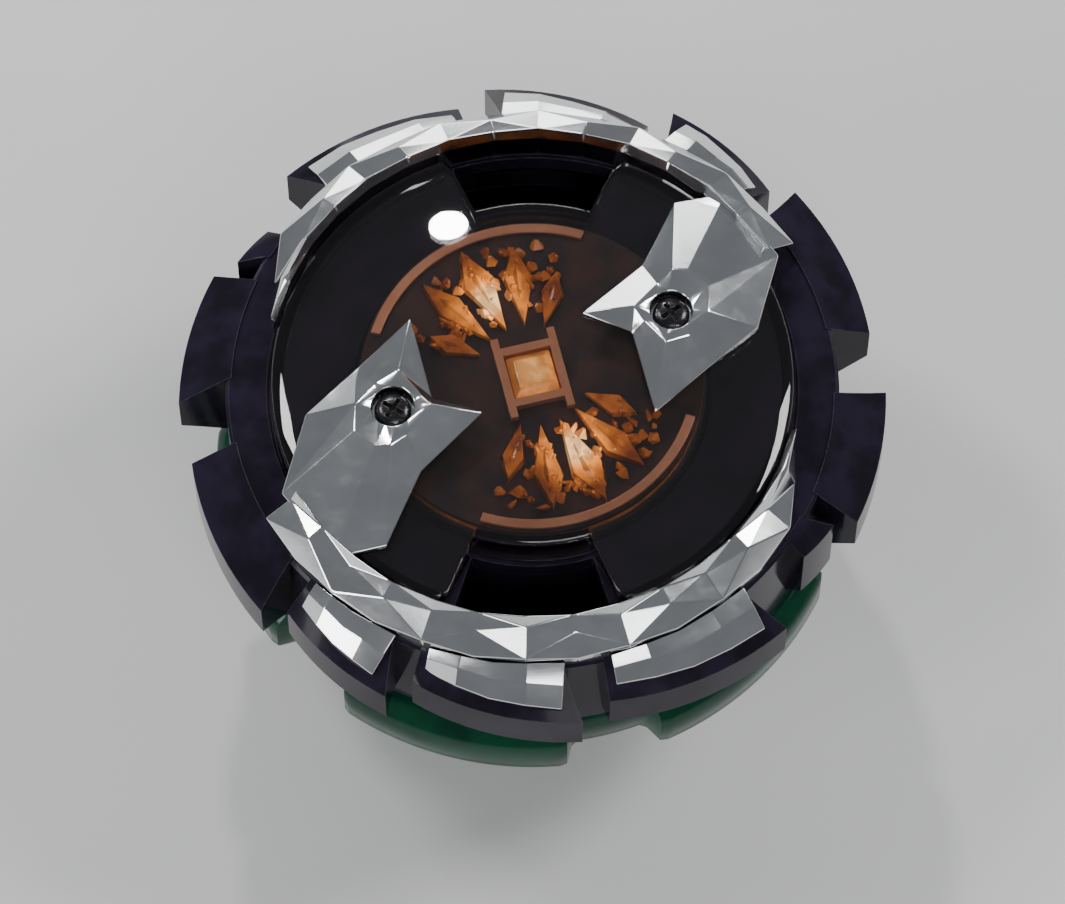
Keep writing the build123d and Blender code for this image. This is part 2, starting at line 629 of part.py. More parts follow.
def disc_frame():
    """The lobed plastic ring round the disc, which the disc's rim rests in."""
    seat = Z_DISC + DISC_RIM_DROP
    low, top = seat - FRAME_LIP, seat + DISC_RIM_HEIGHT
    foot, brow = low + 2 * FRAME_BEVEL, top - 2 * FRAME_BEVEL
    body = tube(FRAME_RADIUS - LOBE_REACH, FRAME_BORE, low, top)
    lobe = slab(sector(FRAME_BORE + OVERLAP, FRAME_RADIUS, -LOBE_ANGLE / 2, LOBE_ANGLE / 2), low, top)
    bevelled = turned(
        (FRAME_BORE, low), (FRAME_RADIUS - 3 * FRAME_BEVEL, low), (FRAME_RADIUS, foot),
        (FRAME_RADIUS + PAST, foot), (FRAME_RADIUS + PAST, brow), (FRAME_RADIUS, brow),
        (FRAME_RADIUS - FRAME_BEVEL, top - FRAME_BEVEL), (FRAME_BORE, top - FRAME_BEVEL),
    )
    for one in ring_of(lobe & bevelled, LOBE_COUNT, 15):
        body += one
    return body + tube(FRAME_BORE + OVERLAP, FRAME_BORE - FRAME_LIP_WIDTH, low, seat)


# ---------------------------------------------------------------- layer base
def base_screw_spots():
    """Places of the four screws that hold the layer base in the blade ring."""
    return [polar(BASE_SCREW_ORBIT, a) for a in BASE_SCREW_ANGLES]


def layer_base():
    """The layer's floor: the bayonet lip, its chamber, the ratchet teeth and the screw posts."""
    body = rod(BASE_RADIUS, Z_BASE, Z_CHAMBER)
    body += rod(CHAMBER_RADIUS + CHAMBER_WALL, Z_BASE, Z_BASE_TOP)
    body += tube(BASE_RADIUS, BASE_RADIUS - BASE_RIM, Z_BASE, Z_BASE_TOP)
    for spot in base_screw_spots():
        body += rod(BASE_POST_RADIUS, Z_BASE, Z_BASE_TOP, (spot.X, spot.Y))
    body -= rod(CHAMBER_RADIUS, Z_CHAMBER, Z_CEILING)
    body -= rod(LIP_BORE, Z_BASE - PAST, Z_CHAMBER + OVERLAP)
    half = TAB_ANGLE / 2 + TAB_PLAY
    entry = sector(LIP_BORE - PAST, TAB_RADIUS + FIT_GAP, -half, half)
    for cut in ring_of(slab(entry, Z_BASE - PAST, Z_CHAMBER + OVERLAP), TAB_COUNT, 90 + 180 / TAB_COUNT):
        body -= cut
    half = RATCHET_ANGLE / 2
    tooth = sector(RATCHET_INNER, RATCHET_INNER + RATCHET_WIDTH, -half, half)
    hanging = slab(tooth, Z_CEILING - RATCHET_HEIGHT, Z_CEILING + OVERLAP)
    for one in ring_of(hanging, RATCHET_COUNT, 180 / RATCHET_COUNT):
        body += one
    for spot in base_screw_spots():
        at = (spot.X, spot.Y)
        body -= rod(BASE_SCREW_HEAD + HEAD_PLAY, Z_BASE - PAST, Z_BASE + BASE_SCREW_SINK, at)
        body -= rod(BASE_SCREW_RADIUS + SCREW_PLAY, Z_BASE, Z_BASE_TOP + PAST, at)
    return body


def base_screws():
    """The four screws up through the layer base into the blade ring."""
    one = screw(
        BASE_SCREW_RADIUS, BASE_SCREW_HEAD, BASE_SCREW_HEAD_HEIGHT,
        Z_BASE + BASE_SCREW_SINK, Z_BASE_TOP + BASE_SCREW_BITE,
    )
    return group([Pos(spot.X, spot.Y, 0) * one for spot in base_screw_spots()])


# ---------------------------------------------------------------- blade ring and trims
def whole_turn(table):
    """The rows of a half-turn table for the whole turn, by rising angle."""
    return [(row[0] + add, row[1] + add, *row[2:]) for add in (0, 180) for row in table]


def blade_teeth():
    """Every blade and spur as (tail angle, tip angle, tail radius, tip radius), by rising angle."""
    blades = [(a, b, BLADE_RADIUS - drop, BLADE_RADIUS) for a, b, drop, _ in whole_turn(BLADES)]
    small = BLADE_RADIUS - SPUR_DROP
    spurs = [(a, b, small - SPUR_TAIL, small) for a, b in whole_turn(SPURS)]
    return sorted(blades + spurs)


def blade_outline():
    """The saw-toothed outline of the ring: swept blades with hooked tips and round notch floors."""
    teeth, edges = blade_teeth(), []
    for i, (tail, tip_angle, tail_radius, tip_radius) in enumerate(teeth):
        following = teeth[(i + 1) % len(teeth)][0] + (360 if i + 1 == len(teeth) else 0)
        heel, toe = polar(tail_radius, tail), polar(tip_radius, tip_angle)
        middle = polar(tip_radius - 0.4 * (tip_radius - tail_radius), (tail + tip_angle) / 2)
        root = tip_angle - BLADE_HOOK
        edges += [
            Line(polar(NOTCH_RADIUS, tail), heel),
            ThreePointArc(heel, middle, toe),
            Line(toe, polar(NOTCH_RADIUS, root)),
            ThreePointArc(polar(NOTCH_RADIUS, root), polar(NOTCH_RADIUS, (root + following) / 2),
                          polar(NOTCH_RADIUS, following)),
        ]
    return Face(Wire(edges))


def blade_slope(radius):
    """The height of the blades' upper faces at a radius."""
    return Z_DECK - BLADE_DROP * (radius - NOTCH_RADIUS) / BLADE_REACH


def blade_ring():
    """The black upper body: skirt, swept blades, lens ledge, launcher slots and screw bosses."""
    skirt = Z_BASE + 2 * RUNNING_GAP
    blade_low = skirt + LAYER_SKIRT
    far = BLADE_RADIUS + PAST / 2
    ledge = BAND_INNER - FIT_GAP / 2
    envelope = turned(
        (RING_BORE, skirt), (NOTCH_RADIUS, skirt), (NOTCH_RADIUS, blade_low),
        (BLADE_RADIUS, blade_low + BLADE_RISE), (far, blade_low + BLADE_RISE), (far, blade_slope(far)),
        (NOTCH_RADIUS, Z_DECK), (ledge, Z_DECK), (ledge, Z_LEDGE), (RING_BORE, Z_LEDGE),
    )
    body = slab(blade_outline(), skirt - PAST, Z_DECK + PAST) & envelope
    deck_low = Z_LEDGE - RING_DECK
    body -= rod(BASE_RADIUS + FIT_GAP, skirt - PAST, Z_BASE_TOP)
    body -= tube(BASE_RADIUS + FIT_GAP, SLOT_INNER, Z_BASE_TOP - PAST, deck_low)
    for spot in base_screw_spots():
        body += rod(BASE_POST_RADIUS, Z_BASE_TOP, deck_low + OVERLAP, (spot.X, spot.Y))
    slot = sector(SLOT_INNER, LENS_RADIUS, 90 - SLOT_ANGLE / 2, 90 + SLOT_ANGLE / 2)
    for cut in twin(slab(slot, deck_low - PAST, Z_DECK + PAST)):
        body -= cut
    for spot in base_screw_spots():
        at = (spot.X, spot.Y)
        body -= rod(BASE_SCREW_RADIUS, Z_BASE_TOP - PAST, Z_BASE_TOP + BASE_SCREW_BITE, at)
    return body


def blade_trims():
    """The bright plates on the sloping tops of the longer blades."""
    low, high = NOTCH_RADIUS + TRIM_MARGIN / 2, BLADE_RADIUS - TRIM_MARGIN
    shell = turned(
        (low, blade_slope(low) + HAIR_GAP), (high, blade_slope(high) + HAIR_GAP),
        (high, blade_slope(high) + TRIM_THICKNESS), (low, blade_slope(low) + TRIM_THICKNESS),
    )
    margin = degrees(TRIM_MARGIN / BLADE_RADIUS)
    solids = []
    for tail, tip_angle, drop, trimmed in whole_turn(BLADES):
        if not trimmed:
            continue
        start, end = tail + margin, tip_angle - margin - BLADE_HOOK
        heel, toe = polar(high - drop, start), polar(high, end + 0.6 * BLADE_HOOK)
        middle = polar(high - drop / 2 + TRIM_BULGE, (start + end) / 2)
        edges = [
            Line(polar(low, start), heel),
            ThreePointArc(heel, middle, toe),
            Line(toe, polar(low, end)),
            ThreePointArc(polar(low, end), polar(low, (start + end) / 2), polar(low, start)),
        ]
        solids.append(slab(Face(Wire(edges)), Z_DECK - 2 * BLADE_DROP, Z_DECK + PAST) & shell)
    return group(solids)


# ---------------------------------------------------------------- wings, screws and lens
def wing_outline():
    """A head that points at the axis, and the band that sweeps on from it along the lens."""
    corners = [polar(share * BAND_INNER, angle) for share, angle in WING_HEAD]
    tail = WING_BAND_END - WING_BAND_TAPER
    root, rim, point = polar(BAND_INNER, tail), polar(BAND_OUTER, tail), polar(BAND_INNER, WING_BAND_END)
    swell = polar(BAND_INNER + 0.62 * WING_BAND, tail + 0.55 * WING_BAND_TAPER)
    taper = [
        Line(root, rim),
        ThreePointArc(rim, swell, point),
        ThreePointArc(point, polar(BAND_INNER, (tail + WING_BAND_END) / 2), root),
    ]
    head = make_face(Polyline(*corners, close=True))
    return head, sector(BAND_INNER, BAND_OUTER, WING_BAND_START, tail), Face(Wire(taper))


def wing_crown():
    """A solid that caps the wings with their conical facets, turned about the axis."""
    beak, shoulder, ridge = 0.34 * BAND_INNER, 0.8 * BAND_INNER, BAND_INNER + 0.65 * WING_BAND
    far = BAND_OUTER + PAST
    rim = Z_DECK + WING_RIM_HEIGHT
    outer_slope = 0.5 * WING_RIM_HEIGHT / (BAND_OUTER - ridge)
    return turned(
        (0, Z_LEDGE), (far, Z_LEDGE), (far, rim - outer_slope * (far - ridge)), (ridge, rim),
        (BAND_INNER, Z_CROWN - 0.3 * WING_HEIGHT), (shoulder, Z_WING_TOP - 0.4 * WING_HEIGHT),
        (beak, Z_WING_TOP), (0, Z_WING_TOP),
    )


def wing_screw_spot():
    """Place of the screw through the first wing."""
    return polar(WING_SCREW_ORBIT, WING_SCREW_ANGLE)


def wing_screw_seat():
    """Height at which a wing screw's head rests."""
    return dome_height(WING_SCREW_ORBIT) + WING_SEAT_WALL


def wing():
    """One bright wing: a faceted head over the lens and a band along its edge."""
    head, band, taper = wing_outline()
    bevel = Z_WING_TOP - WING_BEVEL
    inset = Pos(0, 0, bevel - WING_STEP) * offset(head, amount=-WING_STEP, kind=Kind.INTERSECTION)
    prow = slab(head, Z_DECK, bevel) + extrude(inset, amount=WING_BEVEL + WING_STEP, taper=WING_BEVEL_ANGLE)
    edge = slab(band, Z_DECK, Z_CROWN) + slab(taper, Z_DECK, Z_CROWN)
    body = (prow - dome_ball(HAIR_GAP) + edge) & wing_crown()
    spot = wing_screw_spot()
    body -= rod(WING_SCREW_RADIUS + SCREW_PLAY, Z_DECK, Z_WING_TOP + PAST, (spot.X, spot.Y))
    return body - rod(WING_SCREW_HEAD + FIT_GAP, wing_screw_seat(), Z_WING_TOP + PAST, (spot.X, spot.Y))


def wing_screws():
    """The two dark screws through the wings and the lens into the core tray."""
    spot, seat = wing_screw_spot(), wing_screw_seat()
    end = Z_CORE - WING_SCREW_BITE
    one = screw(WING_SCREW_RADIUS, WING_SCREW_HEAD, WING_SCREW_HEAD_HEIGHT, seat, end)
    return group(twin(Pos(spot.X, spot.Y, 0) * one))


def lens_outline(inset):
    """The lens's outline, drawn in by an inset: a circle with a bay over each launcher slot."""
    bay_inner = SLOT_INNER - FIT_GAP - inset
    half = SLOT_ANGLE / 2 + BAY_MARGIN + degrees(inset / bay_inner)
    face = Circle(LENS_RADIUS - inset)
    for cut in twin(sector(bay_inner, LENS_RADIUS + PAST, 90 - half, 90 + half)):
        face -= cut
    return face


def lens_dome():
    """The smoked clear dome over the core, with a wall round its edge and its two bays."""
    body = slab(lens_outline(0), Z_LEDGE, Z_CROWN + PAST) & dome_ball()
    body -= slab(lens_outline(LENS_WALL), Z_LEDGE - PAST, Z_CROWN) & dome_ball(-LENS_WALL)
    spot = wing_screw_spot()
    for hole in twin(rod(WING_SCREW_RADIUS + SCREW_PLAY, Z_LEDGE, Z_CROWN + PAST, (spot.X, spot.Y))):
        body -= hole
    return body


# ---------------------------------------------------------------- light module
def boss_notches(bottom, top):
    """Room for the tray's two screw bosses."""
    spot = wing_screw_spot()
    reach = TRAY_RADIUS + PAST
    out = Location(spot, (0, 0, WING_SCREW_ANGLE))
    half = WING_BOSS_RADIUS + FIT_GAP
    notch = rod(half, bottom, top, (spot.X, spot.Y))
    notch += out * block((0, -half, bottom), (reach - WING_SCREW_ORBIT, half, top))
    return twin(notch)


def core_tray():
    """The black cup that holds the cell, the switch and the board."""
    body = rod(TRAY_RADIUS, Z_BASE_TOP, Z_CORE) - rod(TRAY_BORE, Z_TRAY, Z_CORE + PAST)
    inner = CELL_RADIUS + FIT_GAP
    cradle = sector(inner, inner + CRADLE_WALL, -CRADLE_ANGLE / 2, CRADLE_ANGLE / 2)
    for one in ring_of(slab(cradle, Z_TRAY - OVERLAP, Z_CELL_TOP - CRADLE_DROP), 4, 45):
        body += one
    for angle in POST_ANGLES:
        spot = polar(TRAY_BORE - POST_RADIUS / 2, angle)
        body += rod(POST_RADIUS, Z_BASE_TOP, Z_BOARD, (spot.X, spot.Y))
    spot = wing_screw_spot()
    boss_top = dome_height(WING_SCREW_ORBIT + WING_BOSS_RADIUS, -LENS_WALL) - HAIR_GAP
    for boss in twin(rod(WING_BOSS_RADIUS, Z_BASE_TOP, boss_top, (spot.X, spot.Y))):
        body += boss
    for pilot in twin(rod(WING_SCREW_RADIUS, Z_TRAY, Z_CROWN, (spot.X, spot.Y))):
        body -= pilot
    return body


def cell_contact():
    """The sprung cone washer under the coin cell."""
    thick, foot, crest = CONTACT_THICKNESS, CELL_RADIUS - CONTACT_INSET, CELL_RADIUS - CONTACT_CREST
    return turned(
        (foot, Z_TRAY), (foot, Z_TRAY + thick), (crest, Z_CELL), (crest - CONTACT_LAND, Z_CELL),
        (crest - CONTACT_LAND, Z_CELL - thick), (crest, Z_CELL - thick), (foot - 3 * thick, Z_TRAY),
    )


def coin_cell():
    """The lithium coin cell, can upwards."""
    cap, chamfer = CELL_RADIUS - CELL_CAP_STEP, CELL_CHAMFER
    return turned(
        (0, Z_CELL), (cap, Z_CELL), (cap, Z_CELL + CELL_CAP_HEIGHT),
        (CELL_RADIUS, Z_CELL + CELL_CAP_HEIGHT + chamfer), (CELL_RADIUS, Z_CELL_TOP - chamfer),
        (CELL_RADIUS - chamfer, Z_CELL_TOP), (0, Z_CELL_TOP),
    )


def cell_clip():
    """The strap over the cell that joins its can to the board."""
    half, leg, thick = CLIP_STRAP / 2, CELL_RADIUS + 1.75 * FIT_GAP, CONTACT_THICKNESS
    top = Z_CELL_TOP + thick
    body = block((-leg - thick, -half, Z_CELL_TOP), (leg + thick, half, top))
    for side in twin(block((leg, -half, Z_TRAY), (leg + thick, half, top))):
        body += side
    for foot in twin(block((leg, -half, Z_TRAY), (leg + CLIP_FOOT, half, Z_TRAY + thick))):
        body += foot
    return body + block((leg - 2 * CLIP_PAD, -half, top - thick / 2), (leg - CLIP_PAD, half, Z_BOARD))


def circuit_board():
    """The round board, notched for the screw bosses."""
    body = rod(BOARD_RADIUS, Z_BOARD, Z_BOARD_TOP)
    for cut in boss_notches(Z_BOARD - PAST, Z_BOARD_TOP + PAST):
        body -= cut
    return body


def board_cap(radius, height, foot):
    """A round cap of a ball that stands on a height on the axis."""
    ball = (radius**2 + height**2) / (2 * height)
    return (Pos(0, 0, foot + height - ball) * Sphere(ball)) & rod(ball, foot, foot + height + PAST)


def led(at):
    """One amber LED: a square base and a round lens."""
    half, seat = LED_SIDE / 2, Z_BOARD_TOP + LED_BASE
    base = block((-half, -half, Z_BOARD_TOP), (half, half, seat))
    top = Z_BOARD_TOP + LED_HEIGHT
    ball = (LED_LENS_RADIUS**2 + (top - seat) ** 2) / (2 * (top - seat))
    cap = (Pos(0, 0, top - ball) * Sphere(ball)) & rod(LED_LENS_RADIUS, seat - OVERLAP / 2, top + PAST)
    return Pos(at.X, at.Y, 0) * (base + cap)


def chip_blob():
    """The resin blob over the flasher chip."""
    spot = polar(LED_ORBIT, BLOB_ANGLE)
    return Pos(spot.X, spot.Y, 0) * board_cap(BLOB_RADIUS, BLOB_HEIGHT, Z_BOARD_TOP)


def chip_part(length, width, height, angle):
    """A small brick-shaped component on the board."""
    spot = polar(LED_ORBIT, angle)
    low, high = (-length / 2, -width / 2, Z_BOARD_TOP), (length / 2, width / 2, Z_BOARD_TOP + height)
    return Pos(spot.X, spot.Y, 0) * block(low, high)


def shard(angle, outer, half_width):
    """The outline of one amber shard, a long kite that points away from the axis."""
    waist = SHARD_INNER + 0.6 * (outer - SHARD_INNER)
    points = ((SHARD_INNER, 0), (waist, -half_width), (outer, 0), (waist, half_width))
    return turn(make_face(Polyline(*points, close=True)), angle)


def shard_rows(grow=0.0):
    """Each shard's angle, outer radius and half width, grown by a margin."""
    rows = []
    for angle, share, half_width in SHARDS:
        outer = share * ARC_RADIUS + 1.6 * grow
        for add in (0, 180):
            rows.append((angle + add, outer, half_width + grow))
    return rows


def amber_core():
    """The amber light guide: a plate over the LEDs with shards standing on it."""
    body = rod(CORE_RADIUS, Z_CORE, Z_MASK)
    for angle, outer, half_width in shard_rows():
        top = min(Z_MASK + SHARD_RISE, dome_height(outer, -LENS_WALL) - OVERLAP / 2)
        body += slab(shard(angle, outer, half_width), Z_MASK - OVERLAP / 2, top)
    for cut in boss_notches(Z_CORE - PAST, Z_CROWN):
        body -= cut
    return body


def core_mask():
    """The black plate over the core, with a window for each shard and one for the gem."""
    body = rod(CORE_RADIUS, Z_MASK, Z_MASK_TOP)
    for angle, outer, half_width in shard_rows(grow=0.75 * FIT_GAP):
        body -= slab(shard(angle, outer, half_width), Z_MASK - PAST, Z_MASK_TOP + PAST)
    half = GEM_SIDE / 2 + FIT_GAP / 2
    body -= turn(block((-half, -half, Z_MASK - PAST), (half, half, Z_MASK_TOP + PAST)), GEM_TURN)
    for cut in boss_notches(Z_MASK - PAST, Z_CROWN):
        body -= cut
    return body


def center_gem():
    """The square amber gem on the axis, with a bevelled table."""
    half, shoulder = GEM_SIDE / 2, Z_GEM_TOP - GEM_CROWN
    table = GEM_SIDE - 2 * GEM_BEVEL
    crown = loft([
        Pos(0, 0, shoulder) * Rectangle(GEM_SIDE, GEM_SIDE),
        Pos(0, 0, Z_GEM_TOP) * Rectangle(table, table),
    ])
    return turn(block((-half, -half, Z_MASK), (half, half, shoulder)) + crown, GEM_TURN)


def gem_bezel():
    """The copper frame round the gem, with a long bar on two of its sides."""
    inner, outer = GEM_SIDE / 2 + FIT_GAP / 2, GEM_SIDE / 2 + BEZEL_WIDTH
    top = Z_MASK_TOP + BEZEL_RISE
    body = block((-outer, -outer, Z_MASK_TOP), (outer, outer, top))
    low, high = (inner + OVERLAP / 4, -outer - BEZEL_BAR, Z_MASK_TOP), (outer, outer + BEZEL_BAR, top)
    for bar in twin(block(low, high)):
        body += bar
    return turn(body - block((-inner, -inner, Z_MASK_TOP - PAST), (inner, inner, top + PAST)), GEM_TURN)


def copper_arcs():
    """The two thin copper arcs that border the amber clusters."""
    arc = sector(ARC_RADIUS - ARC_WIDTH, ARC_RADIUS, *ARC_SPAN)
    return group(twin(slab(arc, Z_MASK_TOP, Z_MASK_TOP + ARC_THICKNESS)))


# ---------------------------------------------------------------- centrifugal switch
def lying(shape, y):
    """A shape that stands on z = 0 laid along +Y, starting at y on the switch's axis."""
    return Pos(0, y, Z_SWITCH) * Rot(-90, 0, 0) * shape


def switch_housing():
    """The open box that guides the weight, with a hole for the fixed contact."""
    half, wall, low = SWITCH_HALF_WIDTH, SWITCH_WALL, Z_SWITCH - SWITCH_CHANNEL - SWITCH_WALL
    body = block((-half, SWITCH_START, low), (half, SWITCH_END, Z_SWITCH_TOP - wall))
    channel = (-SWITCH_CHANNEL, SWITCH_START + wall, low + wall)
    body -= block(channel, (SWITCH_CHANNEL, SWITCH_END - wall, Z_SWITCH_TOP))
    return body - lying(rod(SWITCH_NOSE_RADIUS, 0, 2 * wall), SWITCH_END - wall - OVERLAP / 2)


def switch_cover():
    """The thin lid on the switch."""
    half, low = SWITCH_HALF_WIDTH, Z_SWITCH_TOP - SWITCH_WALL
    return block((-half, SWITCH_START, low), (half, SWITCH_END, Z_SWITCH_TOP))


def switch_contact():
    """The fixed contact stud in the switch's outer wall."""
    inside = SWITCH_END - SWITCH_WALL
    reach = contact_reach()
    return lying(rod(SWITCH_NOSE_RADIUS, 0, reach + SWITCH_WALL), inside - reach)


def contact_reach():
    """How far the fixed contact stands into the channel, so that the weight meets it at full travel."""
    inside = SWITCH_LENGTH - 2 * SWITCH_WALL
    return inside - SWITCH_WEIGHT_LENGTH - SWITCH_NOSE - SWITCH_TRAVEL - 2 * HAIR_GAP


def switch_weight():
    """The brass weight that slides outwards when the top spins, and closes the light's circuit."""
    start = SWITCH_START + SWITCH_WALL + HAIR_GAP
    body = rod(SWITCH_WEIGHT_RADIUS, 0, SWITCH_WEIGHT_LENGTH)
    body += rod(SWITCH_NOSE_RADIUS, SWITCH_WEIGHT_LENGTH - OVERLAP, SWITCH_WEIGHT_LENGTH + SWITCH_NOSE)
    return lying(body, start)


def switch_spring():
    """The fine coil spring that holds the weight off the contact."""
    start = SWITCH_START + SWITCH_WALL + HAIR_GAP + SWITCH_WEIGHT_LENGTH
    length = SWITCH_END - SWITCH_WALL - start
    return lying(coil(SWITCH_SPRING_RADIUS, SWITCH_WIRE_RADIUS, SWITCH_TURNS, length), start)


# ---------------------------------------------------------------- all the pieces
PIECES = {
    "tip": tip,
    "tip_shaft": tip_shaft,
    "shaft_clip": shaft_clip,
    "bearing_inner_race": bearing_inner_race,
    "bearing_outer_race": bearing_outer_race,
    "bearing_balls": bearing_balls,
    "bearing_cage": bearing_cage,
    "driver_cap": driver_cap,
    "driver_housing": driver_housing,
    "driver_screws": driver_screws,
    "spring_seat": spring_seat,
    "plunger": plunger,
    "plunger_spring": plunger_spring,
    "weight_disc": weight_disc,
    "disc_frame": disc_frame,
    "layer_base": layer_base,
    "base_screws": base_screws,
    "blade_ring": blade_ring,
    "blade_trims": blade_trims,
    "wing_right": wing,
    "wing_left": lambda: turn(wing(), 180),
    "wing_screws": wing_screws,
    "lens_dome": lens_dome,
    "core_tray": core_tray,
    "cell_contact": cell_contact,
    "coin_cell": coin_cell,
    "cell_clip": cell_clip,
    "circuit_board": circuit_board,
    "led_upper": lambda: led(polar(LED_ORBIT, LED_ANGLE)),
    "led_lower": lambda: led(polar(LED_ORBIT, LED_ANGLE + 180)),
    "led_center": lambda: led(Vector(0, 0, 0)),
    "chip_blob": chip_blob,
    "resistor": lambda: chip_part(*RESISTOR),
    "capacitor": lambda: chip_part(*CAPACITOR),
    "amber_core": amber_core,
    "core_mask": core_mask,
    "center_gem": center_gem,
    "gem_bezel": gem_bezel,
    "copper_arcs": copper_arcs,
    "switch_housing": switch_housing,
    "switch_cover": switch_cover,
    "switch_contact": switch_contact,
    "switch_weight": switch_weight,
    "switch_spring": switch_spring,
}


def main():
    """Builds every piece and writes one STEP file for each."""
    os.makedirs("parts", exist_ok=True)
    for name, make in PIECES.items():
        export_step(make(), f"parts/{name}.step")


if __name__ == "__main__":
    main()
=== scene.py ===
"""Looks of the light-up spinning top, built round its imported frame.

Each sub-assembly is a class that holds its sizes in millimetres, makes its meshes and dresses them.
Angles are in degrees about the spin axis, which is Z, and seen from above they grow anticlockwise.
"""

import json
import logging
from collections.abc import Callable, Iterable, Sequence
from dataclasses import dataclass, fields
from enum import Enum
from functools import cache, partial, reduce
from math import atan2, cos, degrees, hypot, radians, sin, sqrt, tau

import bmesh
import bpy
from mathutils import Matrix, Vector


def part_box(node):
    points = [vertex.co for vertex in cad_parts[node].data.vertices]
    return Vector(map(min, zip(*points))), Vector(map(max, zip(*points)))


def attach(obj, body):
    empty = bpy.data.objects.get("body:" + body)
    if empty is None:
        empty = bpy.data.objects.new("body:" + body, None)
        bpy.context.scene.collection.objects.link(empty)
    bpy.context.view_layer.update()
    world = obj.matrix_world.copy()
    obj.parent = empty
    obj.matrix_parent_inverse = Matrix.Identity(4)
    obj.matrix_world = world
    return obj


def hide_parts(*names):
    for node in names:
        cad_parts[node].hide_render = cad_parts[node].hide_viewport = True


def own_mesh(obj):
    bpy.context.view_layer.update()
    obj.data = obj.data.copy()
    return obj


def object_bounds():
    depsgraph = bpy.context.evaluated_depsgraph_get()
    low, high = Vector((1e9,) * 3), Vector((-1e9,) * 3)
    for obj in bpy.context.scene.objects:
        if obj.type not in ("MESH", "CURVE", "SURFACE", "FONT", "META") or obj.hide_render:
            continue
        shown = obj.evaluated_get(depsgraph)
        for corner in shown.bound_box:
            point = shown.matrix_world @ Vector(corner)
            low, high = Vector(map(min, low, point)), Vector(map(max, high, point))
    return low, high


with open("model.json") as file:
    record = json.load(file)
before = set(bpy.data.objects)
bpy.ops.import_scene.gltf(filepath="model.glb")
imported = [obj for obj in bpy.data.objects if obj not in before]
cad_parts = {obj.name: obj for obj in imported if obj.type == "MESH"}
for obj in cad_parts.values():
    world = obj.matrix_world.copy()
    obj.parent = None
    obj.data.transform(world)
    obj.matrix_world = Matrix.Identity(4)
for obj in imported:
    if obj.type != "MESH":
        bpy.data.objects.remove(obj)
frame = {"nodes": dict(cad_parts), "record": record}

CAD_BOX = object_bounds()
LOG = logging.getLogger("spinning_top")

MM = 0.001  # metres in a millimetre
OVERLAP = 0.4  # mm by which joined shells reach into each other
NEAR = 0.01  # mm within which two measures count as the same
CLEARANCE = 0.04  # mm between the dome and what lies on it
PAST = 1.0  # mm by which a cutter runs past what it cuts
FLAT = 0.6  # degrees up to which faces count as one flat stretch
SPIKE = 0.25  # mm over the lens from which a corner of a wing's head is a spike
SOFT_PATCHES = (0.35, 0.65, 0.0, 1.0)  # spreads the middle of a noise pattern over 0 to 1
IMAGE_SIZE = (1065, 904)  # width and height of the render

Triple = tuple[float, float, float]
Colour = Triple
Section = Callable[[float], tuple[float, float]]  # (radius, height) in mm at an angle in degrees


class Body(Enum):
    """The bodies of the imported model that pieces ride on."""

    LAYER = "layer"
    DRIVER = "driver"
    TIP = "tip_unit"
    PLUNGER = "plunger"


# -------------------------------- measures taken from the frame
def low_point(node: str) -> Vector:
    """Lowest corner of a CAD node's box in mm."""
    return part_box(node)[0] / MM


def high_point(node: str) -> Vector:
    """Highest corner of a CAD node's box in mm."""
    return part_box(node)[1] / MM


def spokes(node: str) -> list[float]:
    """Distances of a CAD node's points from the spin axis in mm."""
    return [hypot(v.co.x, v.co.y) / MM for v in frame["nodes"][node].data.vertices]


def polar(radius: float, angle: float, height: float = 0.0) -> Vector:
    """The point at a radius and an angle in degrees about the spin axis."""
    return Vector((radius * cos(radians(angle)), radius * sin(radians(angle)), height))


def full_turn(steps: int) -> list[float]:
    """Angles evenly spaced over a whole turn, in degrees."""
    return [360 * i / steps for i in range(steps)]


def smooth(value: float, start: float, end: float) -> float:
    """Rises smoothly from 0 at one value to 1 at another."""
    t = min(1.0, max(0.0, (value - start) / (end - start)))
    return t * t * (3 - 2 * t)


@dataclass(frozen=True)
class Dome:
    """The ball whose cap is the lens's outer surface.

    Attributes:
        crown: Height of its top in mm.
        radius: Radius of the ball in mm.
    """

    crown: float
    radius: float

    @classmethod
    def from_frame(cls) -> "Dome":
        """The dome that runs through the lens's crown and its rim.

        Returns:
            The dome.
        """
        skin = frame["nodes"]["lens_dome"].data.vertices
        rim = max(spokes("lens_dome"))
        crown = high_point("lens_dome").z
        edge = max(v.co.z for v in skin if hypot(v.co.x, v.co.y) / MM > rim - NEAR) / MM
        rise = crown - edge
        return cls(crown, (rim * rim + rise * rise) / (2 * rise))

    def height(self, radius: float, offset: float = 0.0) -> float:
        """Height of the cap at a radius from the axis, with the ball grown by an offset."""
        return self.crown - self.radius + sqrt((self.radius + offset) ** 2 - radius**2)


DOME = Dome.from_frame()


# -------------------------------- finishes
class Wiring:
    """A node tree with short calls that add and join nodes."""

    def __init__(self, tree: bpy.types.NodeTree) -> None:
        """Wraps a node tree."""
        self.tree = tree

    def add(self, kind: str, **settings: object) -> bpy.types.Node:
        """Adds a node.

        Args:
            kind: Its type.
            **settings: Plain properties to set on it.

        Returns:
            The node.
        """
        node = self.tree.nodes.new(kind)
        for key, value in settings.items():
            setattr(node, key, value)
        return node

    def link(self, source: bpy.types.NodeSocket, target: bpy.types.NodeSocket) -> None:
        """Joins two sockets."""
        self.tree.links.new(source, target)


